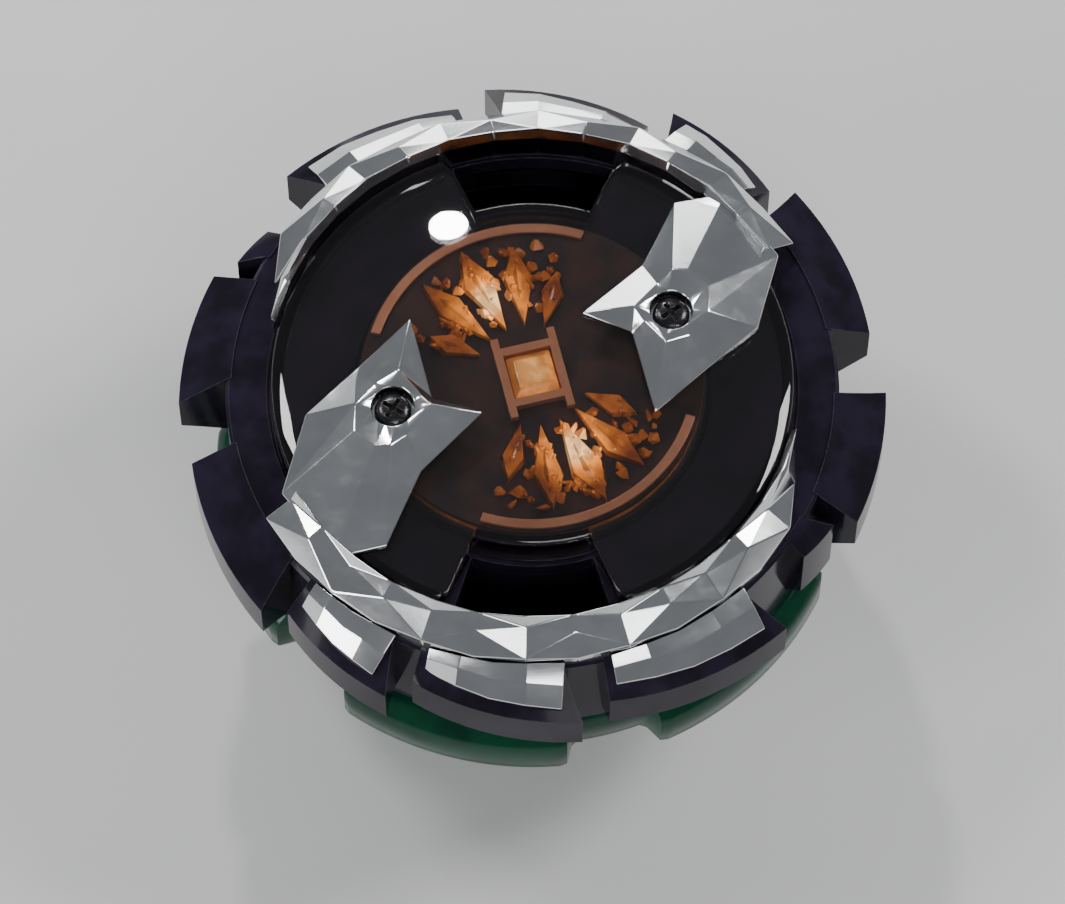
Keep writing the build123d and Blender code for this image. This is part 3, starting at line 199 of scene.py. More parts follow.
class Shader(Wiring):
    """The node tree of one material, with short calls for the nodes that the finishes use."""

    def __init__(self, name: str) -> None:
        """Starts an empty material.

        Args:
            name: The material's name.
        """
        self.material = bpy.data.materials.new(name)
        self.material.use_nodes = True
        super().__init__(self.material.node_tree)
        self.tree.nodes.clear()
        self.surface = self.add("ShaderNodeOutputMaterial").inputs["Surface"]
        where = self.add("ShaderNodeTexCoord")
        self.place = where.outputs["Object"]
        self.normal = where.outputs["Normal"]

    def noise(self, size: float, detail: float = 3.0, stretch: Triple = (1, 1, 1)) -> bpy.types.NodeSocket:
        """A noise pattern in object space.

        Args:
            size: Size of its patches in mm.
            detail: Levels of finer noise on top.
            stretch: How much finer the pattern is along each axis.

        Returns:
            The pattern's value, about 0.5 in the middle.
        """
        mapping = self.add("ShaderNodeMapping")
        mapping.inputs["Scale"].default_value = stretch
        self.link(self.place, mapping.inputs["Vector"])
        noise = self.add("ShaderNodeTexNoise")
        noise.inputs["Scale"].default_value = 1 / (size * MM)
        noise.inputs["Detail"].default_value = detail
        self.link(mapping.outputs["Vector"], noise.inputs["Vector"])
        return noise.outputs["Fac"]

    def between(self, value: bpy.types.NodeSocket, start: float, end: float,
                low: float, high: float) -> bpy.types.NodeSocket:
        """Maps a value smoothly from one range to another, held at its ends.

        Args:
            value: The value to map.
            start: Where its range starts.
            end: Where its range ends.
            low: The result at the start.
            high: The result at the end.

        Returns:
            The result.
        """
        node = self.add("ShaderNodeMapRange", interpolation_type="SMOOTHSTEP")
        numbers = (start, end, low, high)
        for key, number in zip(("From Min", "From Max", "To Min", "To Max"), numbers):
            node.inputs[key].default_value = number
        self.link(value, node.inputs["Value"])
        return node.outputs["Result"]

    def mix(self, factor: bpy.types.NodeSocket, first: Colour | bpy.types.NodeSocket,
            second: Colour | bpy.types.NodeSocket) -> bpy.types.NodeSocket:
        """Mixes two colours, each a plain colour or a socket.

        Args:
            factor: The share of the second colour.
            first: The first colour.
            second: The second colour.

        Returns:
            The mixed colour.
        """
        node = self.add("ShaderNodeMix", data_type="RGBA")
        self.link(factor, node.inputs[0])
        for slot, colour in ((6, first), (7, second)):
            if isinstance(colour, tuple):
                node.inputs[slot].default_value = (*colour, 1)
            else:
                self.link(colour, node.inputs[slot])
        return node.outputs[2]

    def math(self, operation: str, first: bpy.types.NodeSocket,
             second: bpy.types.NodeSocket | float) -> bpy.types.NodeSocket:
        """Works out one sum with two numbers.

        Args:
            operation: The math node's operation.
            first: The first number.
            second: The second number, plain or a socket.

        Returns:
            The result.
        """
        node = self.add("ShaderNodeMath", operation=operation)
        self.link(first, node.inputs[0])
        if isinstance(second, float):
            node.inputs[1].default_value = second
        else:
            self.link(second, node.inputs[1])
        return node.outputs[0]

    def bump(self, height: bpy.types.NodeSocket, strength: float, depth: float) -> bpy.types.NodeSocket:
        """Turns a height pattern into a normal.

        Args:
            height: The pattern.
            strength: How strongly it shows.
            depth: Depth of the pattern in mm.

        Returns:
            The normal.
        """
        node = self.add("ShaderNodeBump")
        node.inputs["Strength"].default_value = strength
        node.inputs["Distance"].default_value = depth * MM
        self.link(height, node.inputs["Height"])
        return node.outputs["Normal"]

    def edges(self, width: float) -> bpy.types.NodeSocket:
        """A mask that is 1 on worn edges and 0 on flat stretches.

        Args:
            width: How far from an edge the wear reaches, in mm.

        Returns:
            The mask.
        """
        rounded = self.add("ShaderNodeBevel", samples=4)
        rounded.inputs["Radius"].default_value = width * MM
        geometry = self.add("ShaderNodeNewGeometry")
        dot = self.add("ShaderNodeVectorMath", operation="DOT_PRODUCT")
        self.link(rounded.outputs["Normal"], dot.inputs[0])
        self.link(geometry.outputs["Normal"], dot.inputs[1])
        flat, worn = 0.99, 0.86  # cosines of the turn that the rounding makes
        return self.between(dot.outputs["Value"], flat, worn, 0.0, 1.0)

    def principled(self, **numbers: float) -> bpy.types.Node:
        """Adds the principled shader with constants set on its own sockets.

        Args:
            **numbers: The constants, each under its socket's name with underscores for spaces.

        Returns:
            The shader's node.
        """
        node = self.add("ShaderNodeBsdfPrincipled")
        for key, value in numbers.items():
            node.inputs[key.replace("_", " ")].default_value = value
        return node


@dataclass(frozen=True)
class Finish:
    """A solid finish with patches of colour, uneven gloss, fine grain, scuffs and worn edges.

    Attributes:
        name: The material's name.
        base: Its main colour.
        tint: The colour of its patches.
        metallic: 1 for metal.
        gloss: Roughness where it is smoothest and where it is dullest.
        patch: Size of the colour patches in mm.
        grain: Size of the fine grain in mm.
        relief: Depth of the grain in mm.
        stretch: How much finer the grain is along each axis, for brushed or turned metal.
        scuffs: How much finer the scuffs are along each axis.
        coat: Strength of the clear coat.
        shine: Strength of the reflections of the plastic itself, 0.5 for a usual one.
        clear: Share of light that passes through, as in translucent plastic.
        wear: Colour of worn edges, or None.
    """

    name: str
    base: Colour
    tint: Colour
    metallic: float = 0.0
    gloss: tuple[float, float] = (0.2, 0.35)
    patch: float = 3.0
    grain: float = 0.12
    relief: float = 0.004
    stretch: Triple = (1, 1, 1)
    scuffs: Triple = (1, 14, 5)
    coat: float = 0.0
    shine: float = 0.5
    clear: float = 0.0
    wear: Colour | None = None

    @cache
    def material(self) -> bpy.types.Material:
        """Builds the material on first use.

        Returns:
            The material of this finish.
        """
        tree = Shader(self.name)
        shader = tree.principled(
            Metallic=self.metallic, Coat_Weight=self.coat, Coat_Roughness=0.04,
            Transmission_Weight=self.clear, IOR=1.49, Specular_IOR_Level=self.shine,
        )
        patches = tree.between(tree.noise(self.patch), *SOFT_PATCHES)
        colour = tree.mix(patches, self.base, self.tint)
        scuffs = tree.noise(self.grain * 6, 6.0, self.scuffs)
        dull = tree.between(scuffs, 0.45, 0.72, *self.gloss)
        if self.wear:
            worn = tree.math("MULTIPLY", tree.edges(0.12), tree.between(scuffs, 0.4, 0.6, 0.15, 0.8))
            colour = tree.mix(worn, colour, self.wear)
        grain = tree.noise(self.grain, 2.0, self.stretch)
        tree.link(colour, shader.inputs["Base Color"])
        tree.link(dull, shader.inputs["Roughness"])
        tree.link(tree.bump(grain, 0.35, self.relief), shader.inputs["Normal"])
        tree.link(shader.outputs["BSDF"], tree.surface)
        return tree.material


@dataclass(frozen=True)
class SmokedFinish:
    """A polished smoked clear plastic that lets lamps light what is behind it.

    Attributes:
        name: The material's name.
        base: Colour of what is seen through it.
        shade: Colour of the lamps' light that falls through it.
    """

    name: str
    base: Colour
    shade: Colour

    @cache
    def material(self) -> bpy.types.Material:
        """Builds the material on first use.

        Returns:
            The material of this finish.
        """
        tree = Shader(self.name)
        shader = tree.principled(Transmission_Weight=1.0, IOR=1.47, Coat_Weight=0.3, Coat_Roughness=0.02)
        haze = tree.between(tree.noise(7.0), *SOFT_PATCHES)
        deeper = tuple(0.86 * c for c in self.base)
        tree.link(tree.mix(haze, self.base, deeper), shader.inputs["Base Color"])
        hairlines = tree.noise(0.5, 5.0, (1, 16, 4))
        tree.link(tree.between(hairlines, 0.56, 0.76, 0.012, 0.022), shader.inputs["Roughness"])
        tree.link(tree.bump(tree.noise(4.0), 0.12, 0.02), shader.inputs["Normal"])
        through = tree.add("ShaderNodeBsdfTransparent")
        through.inputs["Color"].default_value = (*self.shade, 1)
        path = tree.add("ShaderNodeLightPath")
        either = tree.add("ShaderNodeMixShader")
        tree.link(path.outputs["Is Shadow Ray"], either.inputs["Fac"])
        tree.link(shader.outputs["BSDF"], either.inputs[1])
        tree.link(through.outputs["BSDF"], either.inputs[2])
        tree.link(either.outputs["Shader"], tree.surface)
        return tree.material


@dataclass(frozen=True)
class PaintedGlowFinish:
    """A translucent plastic with painted glow, brightest over its lamps: emission that stands in for their
    light from below, with painted facet highlights.

    Attributes:
        name: The material's name.
        base: Its colour.
        deep: Its darker colour, which lies in random clouds over the base.
        glow: Colour of the painted glow that comes out of it.
        core: Colour of that painted glow right over a lamp.
        strength: Strength of that painted glow over a lamp.
        rest: Strength of that painted glow far from the lamps.
        lamps: Places of the lamps in mm.
        spread: How far the painted glow of a lamp reaches in mm.
        bright_side: Direction that the facets with the brightest painted highlight face.
        facets: Strength of the painted facet highlight on the facets that face away from it and on those
            that face it.
    """

    name: str
    base: Colour
    deep: Colour
    glow: Colour
    core: Colour
    strength: float
    rest: float
    lamps: tuple[tuple[float, float], ...]
    spread: float
    bright_side: Triple = (0.60, -0.42, 0.68)
    facets: tuple[float, float] = (0.22, 1.6)

    def lamp_light(self, tree: Shader) -> bpy.types.NodeSocket:
        """Works out the painted glow of the lamps at each place.

        Args:
            tree: The material's nodes.

        Returns:
            The painted glow of the lamp that shines strongest there.
        """
        flat = tree.add("ShaderNodeVectorMath", operation="MULTIPLY")
        flat.inputs[1].default_value = (1, 1, 0)
        tree.link(tree.place, flat.inputs[0])
        lights = []
        for x, y in self.lamps:
            away = tree.add("ShaderNodeVectorMath", operation="DISTANCE")
            away.inputs[1].default_value = (x * MM, y * MM, 0)
            tree.link(flat.outputs["Vector"], away.inputs[0])
            lights.append(
                tree.between(away.outputs["Value"], 0.0, self.spread * MM, self.strength, self.rest)
            )
        return reduce(partial(tree.math, "MAXIMUM"), lights)

    @cache
    def material(self) -> bpy.types.Material:
        """Builds the material on first use.

        Returns:
            The material of this finish.
        """
        tree = Shader(self.name)
        shader = tree.principled(IOR=1.55, Coat_Weight=1.0, Coat_Roughness=0.05)
        cloud = tree.between(tree.noise(1.4), 0.36, 0.66, 0.0, 1.0)
        tree.link(tree.mix(cloud, self.base, self.deep), shader.inputs["Base Color"])
        tree.link(tree.between(tree.noise(0.6), 0.3, 0.7, 0.1, 0.16), shader.inputs["Roughness"])
        # Painted glow: emission that stands in for the light of the lamps below, strongest over each lamp.
        light = self.lamp_light(tree)
        # Painted facet highlights: facets that face one fixed side glow brighter, and noise mottles them
        # into painted glints.
        facing = tree.add("ShaderNodeVectorMath", operation="DOT_PRODUCT")
        facing.inputs[1].default_value = self.bright_side
        tree.link(tree.normal, facing.inputs[0])
        facet = tree.between(facing.outputs["Value"], 0.25, 0.98, *self.facets)
        painted_glints = tree.math("MULTIPLY", facet, tree.between(tree.noise(0.9), 0.42, 0.64, 0.6, 1.2))
        # The painted glow turns paler in colour right over a lamp.
        near = tree.between(light, 0.55 * self.strength, self.strength, 0.0, 1.0)
        tree.link(tree.mix(near, self.glow, self.core), shader.inputs["Emission Color"])
        tree.link(tree.math("MULTIPLY", light, painted_glints), shader.inputs["Emission Strength"])
        tree.link(tree.bump(tree.noise(0.5), 0.2, 0.012), shader.inputs["Normal"])
        tree.link(shader.outputs["BSDF"], tree.surface)
        return tree.material


GLOSS_BLACK = Finish(
    "gloss_black", (0.010, 0.0085, 0.014), (0.018, 0.014, 0.028), gloss=(0.10, 0.24), coat=0.04,
    shine=0.10, relief=0.005, wear=(0.10, 0.095, 0.11),
)
BRIGHT_PLATE = Finish(
    "vacuum_plate", (0.80, 0.81, 0.82), (0.72, 0.73, 0.74), metallic=1.0, gloss=(0.13, 0.17),
    grain=0.35, relief=0.0025, scuffs=(1, 2, 3), wear=(0.48, 0.48, 0.50),
)
MASK_BLACK = Finish(
    "mask_paint", (0.012, 0.006, 0.004), (0.050, 0.020, 0.008), gloss=(0.36, 0.40), patch=2.4,
    scuffs=(1, 1, 1),
)
COPPER = Finish(
    "copper_coat", (0.82, 0.45, 0.24), (0.76, 0.40, 0.20), metallic=0.7, gloss=(0.30, 0.33), patch=2.5,
    relief=0.0015, scuffs=(1, 1, 1),
)
DEEP_GREEN = Finish(
    "deep_green", (0.004, 0.065, 0.032), (0.003, 0.04, 0.022), gloss=(0.1, 0.2), coat=0.04,
    shine=0.12, clear=0.2, wear=(0.07, 0.2, 0.13),
)
CAST_METAL = Finish(
    "cast_metal", (0.30, 0.30, 0.315), (0.22, 0.22, 0.24), metallic=1.0, gloss=(0.26, 0.5),
    grain=0.25, relief=0.02, wear=(0.62, 0.61, 0.60),
)
STEEL = Finish(
    "turned_steel", (0.60, 0.60, 0.60), (0.5, 0.5, 0.51), metallic=1.0, gloss=(0.14, 0.3),
    stretch=(1, 1, 18),
)
BLACK_STEEL = Finish(
    "black_steel", (0.035, 0.035, 0.038), (0.05, 0.048, 0.05), metallic=0.85, gloss=(0.22, 0.42),
    wear=(0.34, 0.33, 0.32),
)
TIP_PLASTIC = Finish(
    "tip_plastic", (0.02, 0.02, 0.022), (0.034, 0.033, 0.034), gloss=(0.32, 0.52), stretch=(1, 1, 10),
    relief=0.01, wear=(0.16, 0.155, 0.15),
)
TRAY_PLASTIC = Finish("tray_plastic", (0.016, 0.016, 0.018), (0.024, 0.023, 0.026), gloss=(0.36, 0.55))
GREY_PLASTIC = Finish("grey_plastic", (0.17, 0.18, 0.19), (0.13, 0.14, 0.15), gloss=(0.3, 0.5))
SWITCH_PLASTIC = Finish("switch_plastic", (0.52, 0.49, 0.42), (0.45, 0.42, 0.35), gloss=(0.35, 0.5))
CELL_CAN = Finish("cell_steel", (0.66, 0.66, 0.64), (0.56, 0.56, 0.55), metallic=1.0, gloss=(0.2, 0.4))
BOARD = Finish("board", (0.02, 0.17, 0.07), (0.015, 0.12, 0.05), gloss=(0.25, 0.4), grain=0.3)
RESIN = Finish("resin", (0.01, 0.01, 0.01), (0.018, 0.017, 0.017), gloss=(0.08, 0.2), coat=0.5)
CERAMIC = Finish("ceramic", (0.32, 0.23, 0.14), (0.22, 0.16, 0.1), gloss=(0.4, 0.6))
BRASS = Finish("yellow_brass", (0.74, 0.54, 0.22), (0.62, 0.43, 0.17), metallic=1.0, gloss=(0.18, 0.36))
PALE_PAPER = Finish(
    "pale_paper", (0.72, 0.72, 0.71), (0.69, 0.69, 0.685), gloss=(0.6, 0.75), patch=40, grain=0.6,
)
SMOKED = SmokedFinish("smoked_clear", (0.50, 0.45, 0.46), (0.62, 0.57, 0.58))


# -------------------------------- mesh making
def make_piece(name: str, points: Sequence[Vector], faces: Sequence[Sequence[int]]) -> bpy.types.Object:
    """Makes an object from points in mm, with doubles merged and its faces turned outwards.

    Args:
        name: The object's name.
        points: Its points in mm.
        faces: Its faces as point numbers.

    Returns:
        The new object.
    """
    mesh = bpy.data.meshes.new(name)
    mesh.from_pydata([point * MM for point in points], [], faces)
    work = bmesh.new()
    work.from_mesh(mesh)
    bmesh.ops.remove_doubles(work, verts=work.verts, dist=1e-7)
    bmesh.ops.recalc_face_normals(work, faces=work.faces)
    work.to_mesh(mesh)
    work.free()
    piece = bpy.data.objects.new(name, mesh)
    bpy.context.collection.objects.link(piece)
    return piece


def settle(piece: bpy.types.Object) -> bpy.types.Object:
    """Turns a piece with modifiers into a plain mesh.

    Args:
        piece: The piece.

    Returns:
        The same piece.
    """
    bpy.context.view_layer.update()
    graph = bpy.context.evaluated_depsgraph_get()
    done = bpy.data.meshes.new_from_object(piece.evaluated_get(graph))
    piece.modifiers.clear()
    piece.data = done
    return piece


def shade(piece: bpy.types.Object, angle: float) -> bpy.types.Object:
    """Shades a piece smooth up to an angle in degrees between faces.

    Args:
        piece: The piece.
        angle: The angle.

    Returns:
        The same piece.
    """
    piece.data.shade_smooth()
    piece.data.set_sharp_from_angle(angle=radians(angle))
    return piece


def soften(piece: bpy.types.Object, width: float, segments: int = 2, angle: float = 28) -> bpy.types.Object:
    """Rounds a piece's edges.

    Args:
        piece: The piece.
        width: Width of the rounding in mm.
        segments: How many strips a rounding has.
        angle: Edges sharper than this, in degrees, are rounded.

    Returns:
        The same piece.
    """
    bevel = piece.modifiers.new("edges", "BEVEL")
    bevel.width = width * MM
    bevel.segments = segments
    bevel.limit_method = "ANGLE"
    bevel.angle_limit = radians(angle)
    bevel.miter_outer = "MITER_ARC"
    settle(piece)
    piece.data.shade_smooth()
    weighted = piece.modifiers.new("normals", "WEIGHTED_NORMAL")
    weighted.weight = 80
    return settle(piece)


def merged_node(name: str, node: str) -> bpy.types.Object:
    """A merged copy of a CAD node, with its flat stretches joined.

    Args:
        name: The copy's name.
        node: The CAD node.

    Returns:
        The copy.
    """
    mesh = frame["nodes"][node].data.copy()
    mesh.name = name
    work = bmesh.new()
    work.from_mesh(mesh)
    bmesh.ops.remove_doubles(work, verts=work.verts, dist=1e-6)
    bmesh.ops.dissolve_limit(work, angle_limit=radians(FLAT), verts=work.verts, edges=work.edges)
    work.to_mesh(mesh)
    work.free()
    if "custom_normal" in mesh.attributes:
        mesh.attributes.remove(mesh.attributes["custom_normal"])
    piece = bpy.data.objects.new(name, mesh)
    bpy.context.collection.objects.link(piece)
    return piece


def softened_node(name: str, node: str, width: float, segments: int = 2) -> bpy.types.Object:
    """A merged copy of a CAD node with rounded edges.

    Args:
        name: The copy's name.
        node: The CAD node.
        width: Width of the rounding in mm.
        segments: How many strips a rounding has.

    Returns:
        The copy.
    """
    return soften(merged_node(name, node), width, segments)


def swept(name: str, rows: Sequence[Section], angles: Sequence[float],
          closed: bool) -> bpy.types.Object:
    """A skin swept about the spin axis all the way round.

    Args:
        name: The object's name.
        rows: The section's corners in order, each a function of the angle.
        angles: The angles at which the section is drawn.
        closed: Whether the last corner joins the first one.

    Returns:
        The new object.
    """
    points = []
    for angle in angles:
        for row in rows:
            radius, height = row(angle)
            points.append(polar(radius, angle, height))
    count = len(rows)
    faces = []
    for i in range(len(angles)):
        here = i * count
        after = (i + 1) % len(angles) * count
        for j in range(count if closed else count - 1):
            k = (j + 1) % count
            faces.append((here + j, after + j, after + k, here + k))
    return make_piece(name, points, faces)


def steady(radius: float, height: float) -> Section:
    """A section corner that stays the same all the way round."""
    return lambda angle: (radius, height)


def lathe(name: str, outline: Iterable[tuple[float, float]], steps: int = 128,
          closed: bool = True) -> bpy.types.Object:
    """A turned piece.

    Args:
        name: The object's name.
        outline: (radius, height) corners of its section in mm.
        steps: How many stretches the turn has.
        closed: Whether the section is a ring's; otherwise it starts and ends on the axis.

    Returns:
        The new object.
    """
    return swept(name, [steady(*corner) for corner in outline], full_turn(steps), closed)


def prism(name: str, outline: Sequence[Vector], low: float, high: float) -> bpy.types.Object:
    """An upright solid on an outline.

    Args:
        name: The object's name.
        outline: Its corners in mm.
        low: Height of its lower face.
        high: Height of its upper face.

    Returns:
        The new object.
    """
    count = len(outline)
    points = [Vector((p.x, p.y, z)) for z in (low, high) for p in outline]
    sides = [(i, (i + 1) % count, count + (i + 1) % count, count + i) for i in range(count)]
    caps = [tuple(range(count)), tuple(range(count, 2 * count))]
    return make_piece(name, points, sides + caps)


def sector(inner: float, outer: float, start: float, end: float, steps: int = 12) -> list[Vector]:
    """The outline of a piece of a ring.

    Args:
        inner: Its inner radius in mm.
        outer: Its outer radius.
        start: The angle at which it starts.
        end: The angle at which it ends.
        steps: How many stretches each arc has.

    Returns:
        The outline's points.
    """
    turns = [start + (end - start) * i / steps for i in range(steps + 1)]
    return [polar(outer, a) for a in turns] + [polar(inner, a) for a in reversed(turns)]


def cut_away(piece: bpy.types.Object, cutter: bpy.types.Object) -> None:
    """Cuts one solid out of another and drops the cutter.

    Args:
        piece: The piece to cut.
        cutter: The solid to cut out.
    """
    cut = piece.modifiers.new("cut", "BOOLEAN")
    cut.operation = "DIFFERENCE"
    cut.solver = "EXACT"
    cut.object = cutter
    settle(piece)
    bpy.data.objects.remove(cutter)


def seat(piece: bpy.types.Object, finish: Finish | SmokedFinish | PaintedGlowFinish, body: Body, slot: str,
         *stands_for: str) -> None:
    """Dresses a piece, hangs it on its body and hides the CAD nodes that it stands for.

    Args:
        piece: The piece.
        finish: Its finish.
        body: The body that it rides on.
        slot: The record's material slot. Not used.
        *stands_for: CAD nodes that it replaces.
    """
    piece.data.materials.clear()
    piece.data.materials.append(finish.material())
    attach(piece, body.value)
    if stands_for:
        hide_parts(*stands_for)
    LOG.info("%s on %s: %d faces, %s", piece.name, body.value, len(piece.data.polygons), finish.name)


def seat_softened(name: str, node: str, width: float, finish: Finish | PaintedGlowFinish, body: Body, slot: str,
                  segments: int = 2) -> None:
    """Seats a CAD node's own shape with softened edges.

    Args:
        name: The piece's name.
        node: The CAD node that it copies and stands for.
        width: Width of the softened edges in mm.
        finish: Its finish.
        body: The body that it rides on.
        slot: Its material slot in the CAD. Not used.
        segments: Facets across a softened edge.
    """
    seat(softened_node(name, node, width, segments), finish, body, slot, node)


# -------------------------------- geometry node trees
class Field:
    """A number in a geometry node tree that can be used in sums."""

    def __init__(self, tree: bpy.types.NodeTree, socket: bpy.types.NodeSocket) -> None:
        """Wraps a socket of a tree."""
        self.tree = tree
        self.socket = socket

    def sum(self, operation: str, other: "Field | float | None" = None) -> "Field":
        """The result of one math node on this number and another.

        Args:
            operation: The node's operation.
            other: The other number, or None where it takes one.

        Returns:
            The result.
        """
        node = self.tree.nodes.new("ShaderNodeMath")
        node.operation = operation
        self.tree.links.new(self.socket, node.inputs[0])
        if isinstance(other, Field):
            self.tree.links.new(other.socket, node.inputs[1])
        elif other is not None:
            node.inputs[1].default_value = other
        return Field(self.tree, node.outputs[0])

    def __add__(self, other: "Field | float") -> "Field":
        """The sum of two numbers."""
        return self.sum("ADD", other)

    def __sub__(self, other: "Field | float") -> "Field":
        """The difference of two numbers."""
        return self.sum("SUBTRACT", other)

    def __mul__(self, other: "Field | float") -> "Field":
        """The product of two numbers."""
        return self.sum("MULTIPLY", other)

    def toward(self, other: "Field", share: "Field") -> "Field":
        """The number that lies a share of the way from this one to another."""
        return self + (other - self) * share


class Tree(Wiring):
    """A geometry node tree with named inputs, which ends in Realize Instances and Set Material."""

    def __init__(self, name: str, inputs: dict[str, str]) -> None:
        """Starts a tree.

        Args:
            name: The tree's name.
            inputs: Socket type of each named input.
        """
        super().__init__(bpy.data.node_groups.new(name, "GeometryNodeTree"))
        face = self.tree.interface
        face.new_socket("Geometry", in_out="INPUT", socket_type="NodeSocketGeometry")
        face.new_socket("Geometry", in_out="OUTPUT", socket_type="NodeSocketGeometry")
        self.keys = {
            label: face.new_socket(label, in_out="INPUT", socket_type=kind).identifier
            for label, kind in {**inputs, "Material": "NodeSocketMaterial"}.items()
        }
        self.source = self.add("NodeGroupInput")
        self.sink = self.add("NodeGroupOutput")

    def attribute(self, name: str, kind: str = "FLOAT") -> bpy.types.NodeSocket:
        """The values of a named attribute.

        Args:
            name: The attribute's name.
            kind: Its data type.

        Returns:
            The socket that gives them.
        """
        node = self.add("GeometryNodeInputNamedAttribute", data_type=kind)
        node.inputs["Name"].default_value = name
        return node.outputs["Attribute"]

    def number(self, name: str) -> Field:
        """A named attribute as a number for sums."""
        return Field(self.tree, self.attribute(name))

    def finish(self, instances: bpy.types.NodeSocket,
               place: bpy.types.NodeSocket | None = None) -> None:
        """Ends the tree: realizes the copies, moves their points if asked, and sets the material.

        Args:
            instances: The instanced geometry.
            place: New positions for the points, or None.
        """
        real = self.add("GeometryNodeRealizeInstances")
        self.link(instances, real.inputs[0])
        shape = real.outputs[0]
        if place is not None:
            move = self.add("GeometryNodeSetPosition")
            self.link(shape, move.inputs["Geometry"])
            self.link(place, move.inputs["Position"])
            shape = move.outputs[0]
        paint = self.add("GeometryNodeSetMaterial")
        self.link(shape, paint.inputs["Geometry"])
        self.link(self.source.outputs["Material"], paint.inputs["Material"])
        self.link(paint.outputs[0], self.sink.inputs[0])

    def run(self, piece: bpy.types.Object, finish: Finish | PaintedGlowFinish, **values: object) -> bpy.types.Object:
        """Runs the tree on a piece and keeps the result as a plain mesh.

        Args:
            piece: The object that holds the rows or the surface to work on.
            finish: The finish of the result.
            **values: Values of the named inputs.

        Returns:
            The same piece, with the result as its mesh.
        """
        modifier = piece.modifiers.new(self.tree.name, "NODES")
        modifier.node_group = self.tree
        modifier[self.keys["Material"]] = finish.material()
        for label, value in values.items():
            modifier[self.keys[label]] = value
        return settle(piece)


@dataclass(frozen=True)
class Arc:
    """One block bent about the spin axis, with sloping faces.

    Attributes:
        start: Angle at which it starts.
        end: Angle at which it ends.
        inner: Its inner radius.
        outer_start: Its outer radius at its start.
        outer_end: Its outer radius at its end.
        low_inner: Height of its lower face at the inner radius.
        low_outer: Height of its lower face at the outer radius.
        high_inner: Height of its upper face at the inner radius.
        high_outer: Height of its upper face at the outer radius.
        hook: Degrees by which its outer end hangs over its inner end.
    """

    start: float
    end: float
    inner: float
    outer_start: float
    outer_end: float
    low_inner: float
    low_outer: float
    high_inner: float
    high_outer: float
    hook: float = 0.0


@dataclass(frozen=True)
class Spot:
    """The place of one copy of a part.

    Attributes:
        x: Its place along X in mm.
        y: Its place along Y.
        z: Its place along Z.
        turn: Its turn about Z in degrees.
        tilt: Its turn about X before that.
        long: Its stretch along its own X.
        wide: Its stretch along its own Y.
        high: Its stretch along its own Z.
    """

    x: float
    y: float
    z: float
    turn: float = 0.0
    tilt: float = 0.0
    long: float = 1.0
    wide: float = 1.0
    high: float = 1.0


def row_object(name: str, rows: Sequence[Arc] | Sequence[Spot]) -> bpy.types.Object:
    """An object with one point for each row, whose fields are attributes of the point.

    Args:
        name: The object's name.
        rows: The rows.

    Returns:
        The new object.
    """
    mesh = bpy.data.meshes.new(name)
    mesh.from_pydata([(0, 0, 0)] * len(rows), [], [])
    for entry in fields(rows[0]):
        values = mesh.attributes.new(entry.name, "FLOAT", "POINT")
        values.data.foreach_set("value", [getattr(row, entry.name) for row in rows])
    piece = bpy.data.objects.new(name, mesh)
    bpy.context.collection.objects.link(piece)
    return piece


def arc_tree() -> Tree:
    """The tree that bends a grid block into each row's arc.

    Returns:
        The tree. Its inputs are the block's steps across and along, how far its outer edge bulges
        as a share of its change in radius, and the heights of its ridge and of its facets in mm.
    """
    tree = Tree("arc_blocks", {
        "Across": "NodeSocketInt", "Along": "NodeSocketInt", "Bulge": "NodeSocketFloat",
        "Ridge": "NodeSocketFloat", "Facet": "NodeSocketFloat",
    })
    given = tree.source.outputs
    cube = tree.add("GeometryNodeMeshCube")
    for label, slot in (("Across", "Vertices X"), ("Along", "Vertices Y")):
        more = tree.add("FunctionNodeIntegerMath", operation="ADD")
        tree.link(given[label], more.inputs[0])
        more.inputs[1].default_value = 1
        tree.link(more.outputs[0], cube.inputs[slot])
    store = tree.add("GeometryNodeStoreNamedAttribute", data_type="FLOAT_VECTOR", domain="POINT")
    store.inputs["Name"].default_value = "cell"
    tree.link(cube.outputs["Mesh"], store.inputs["Geometry"])
    tree.link(tree.add("GeometryNodeInputPosition").outputs[0], store.inputs["Value"])
    copy = tree.add("GeometryNodeInstanceOnPoints")
    tree.link(given["Geometry"], copy.inputs["Points"])
    tree.link(store.outputs[0], copy.inputs["Instance"])
    parts = tree.add("ShaderNodeSeparateXYZ")
    tree.link(tree.attribute("cell", "FLOAT_VECTOR"), parts.inputs[0])
    out, along, up = (Field(tree.tree, socket) + 0.5 for socket in parts.outputs)
    bulge, ridge, facet = (Field(tree.tree, given[label]) for label in ("Bulge", "Ridge", "Facet"))
    steps = Field(tree.tree, given["Along"])
    swell = along + (along - along * along) * bulge
    edge = tree.number("outer_start").toward(tree.number("outer_end"), swell)
    inner = tree.number("inner")
    radius = inner + (edge - inner) * out
    hook = tree.number("hook") * along.sum("POWER", 4.0) * (out * -1.0 + 1.0)
    angle = (tree.number("start").toward(tree.number("end"), along) - hook).sum("RADIANS")
    low = tree.number("low_inner").toward(tree.number("low_outer"), out)
    high = tree.number("high_inner").toward(tree.number("high_outer"), out)
    crest = out.sum("PINGPONG", 0.5) * 2.0 * ridge
    zigzag = (along * steps).sum("PINGPONG", 1.0) * facet * (out.sum("PINGPONG", 0.5) + 0.5)
    height = low.toward(high + crest + zigzag, up)
    place = tree.add("ShaderNodeCombineXYZ")
    numbers = (radius * angle.sum("COSINE"), radius * angle.sum("SINE"), height)
    for slot, number in zip(place.inputs, numbers):
        tree.link((number * MM).socket, slot)
    tree.finish(copy.outputs[0], place.outputs[0])
    return tree


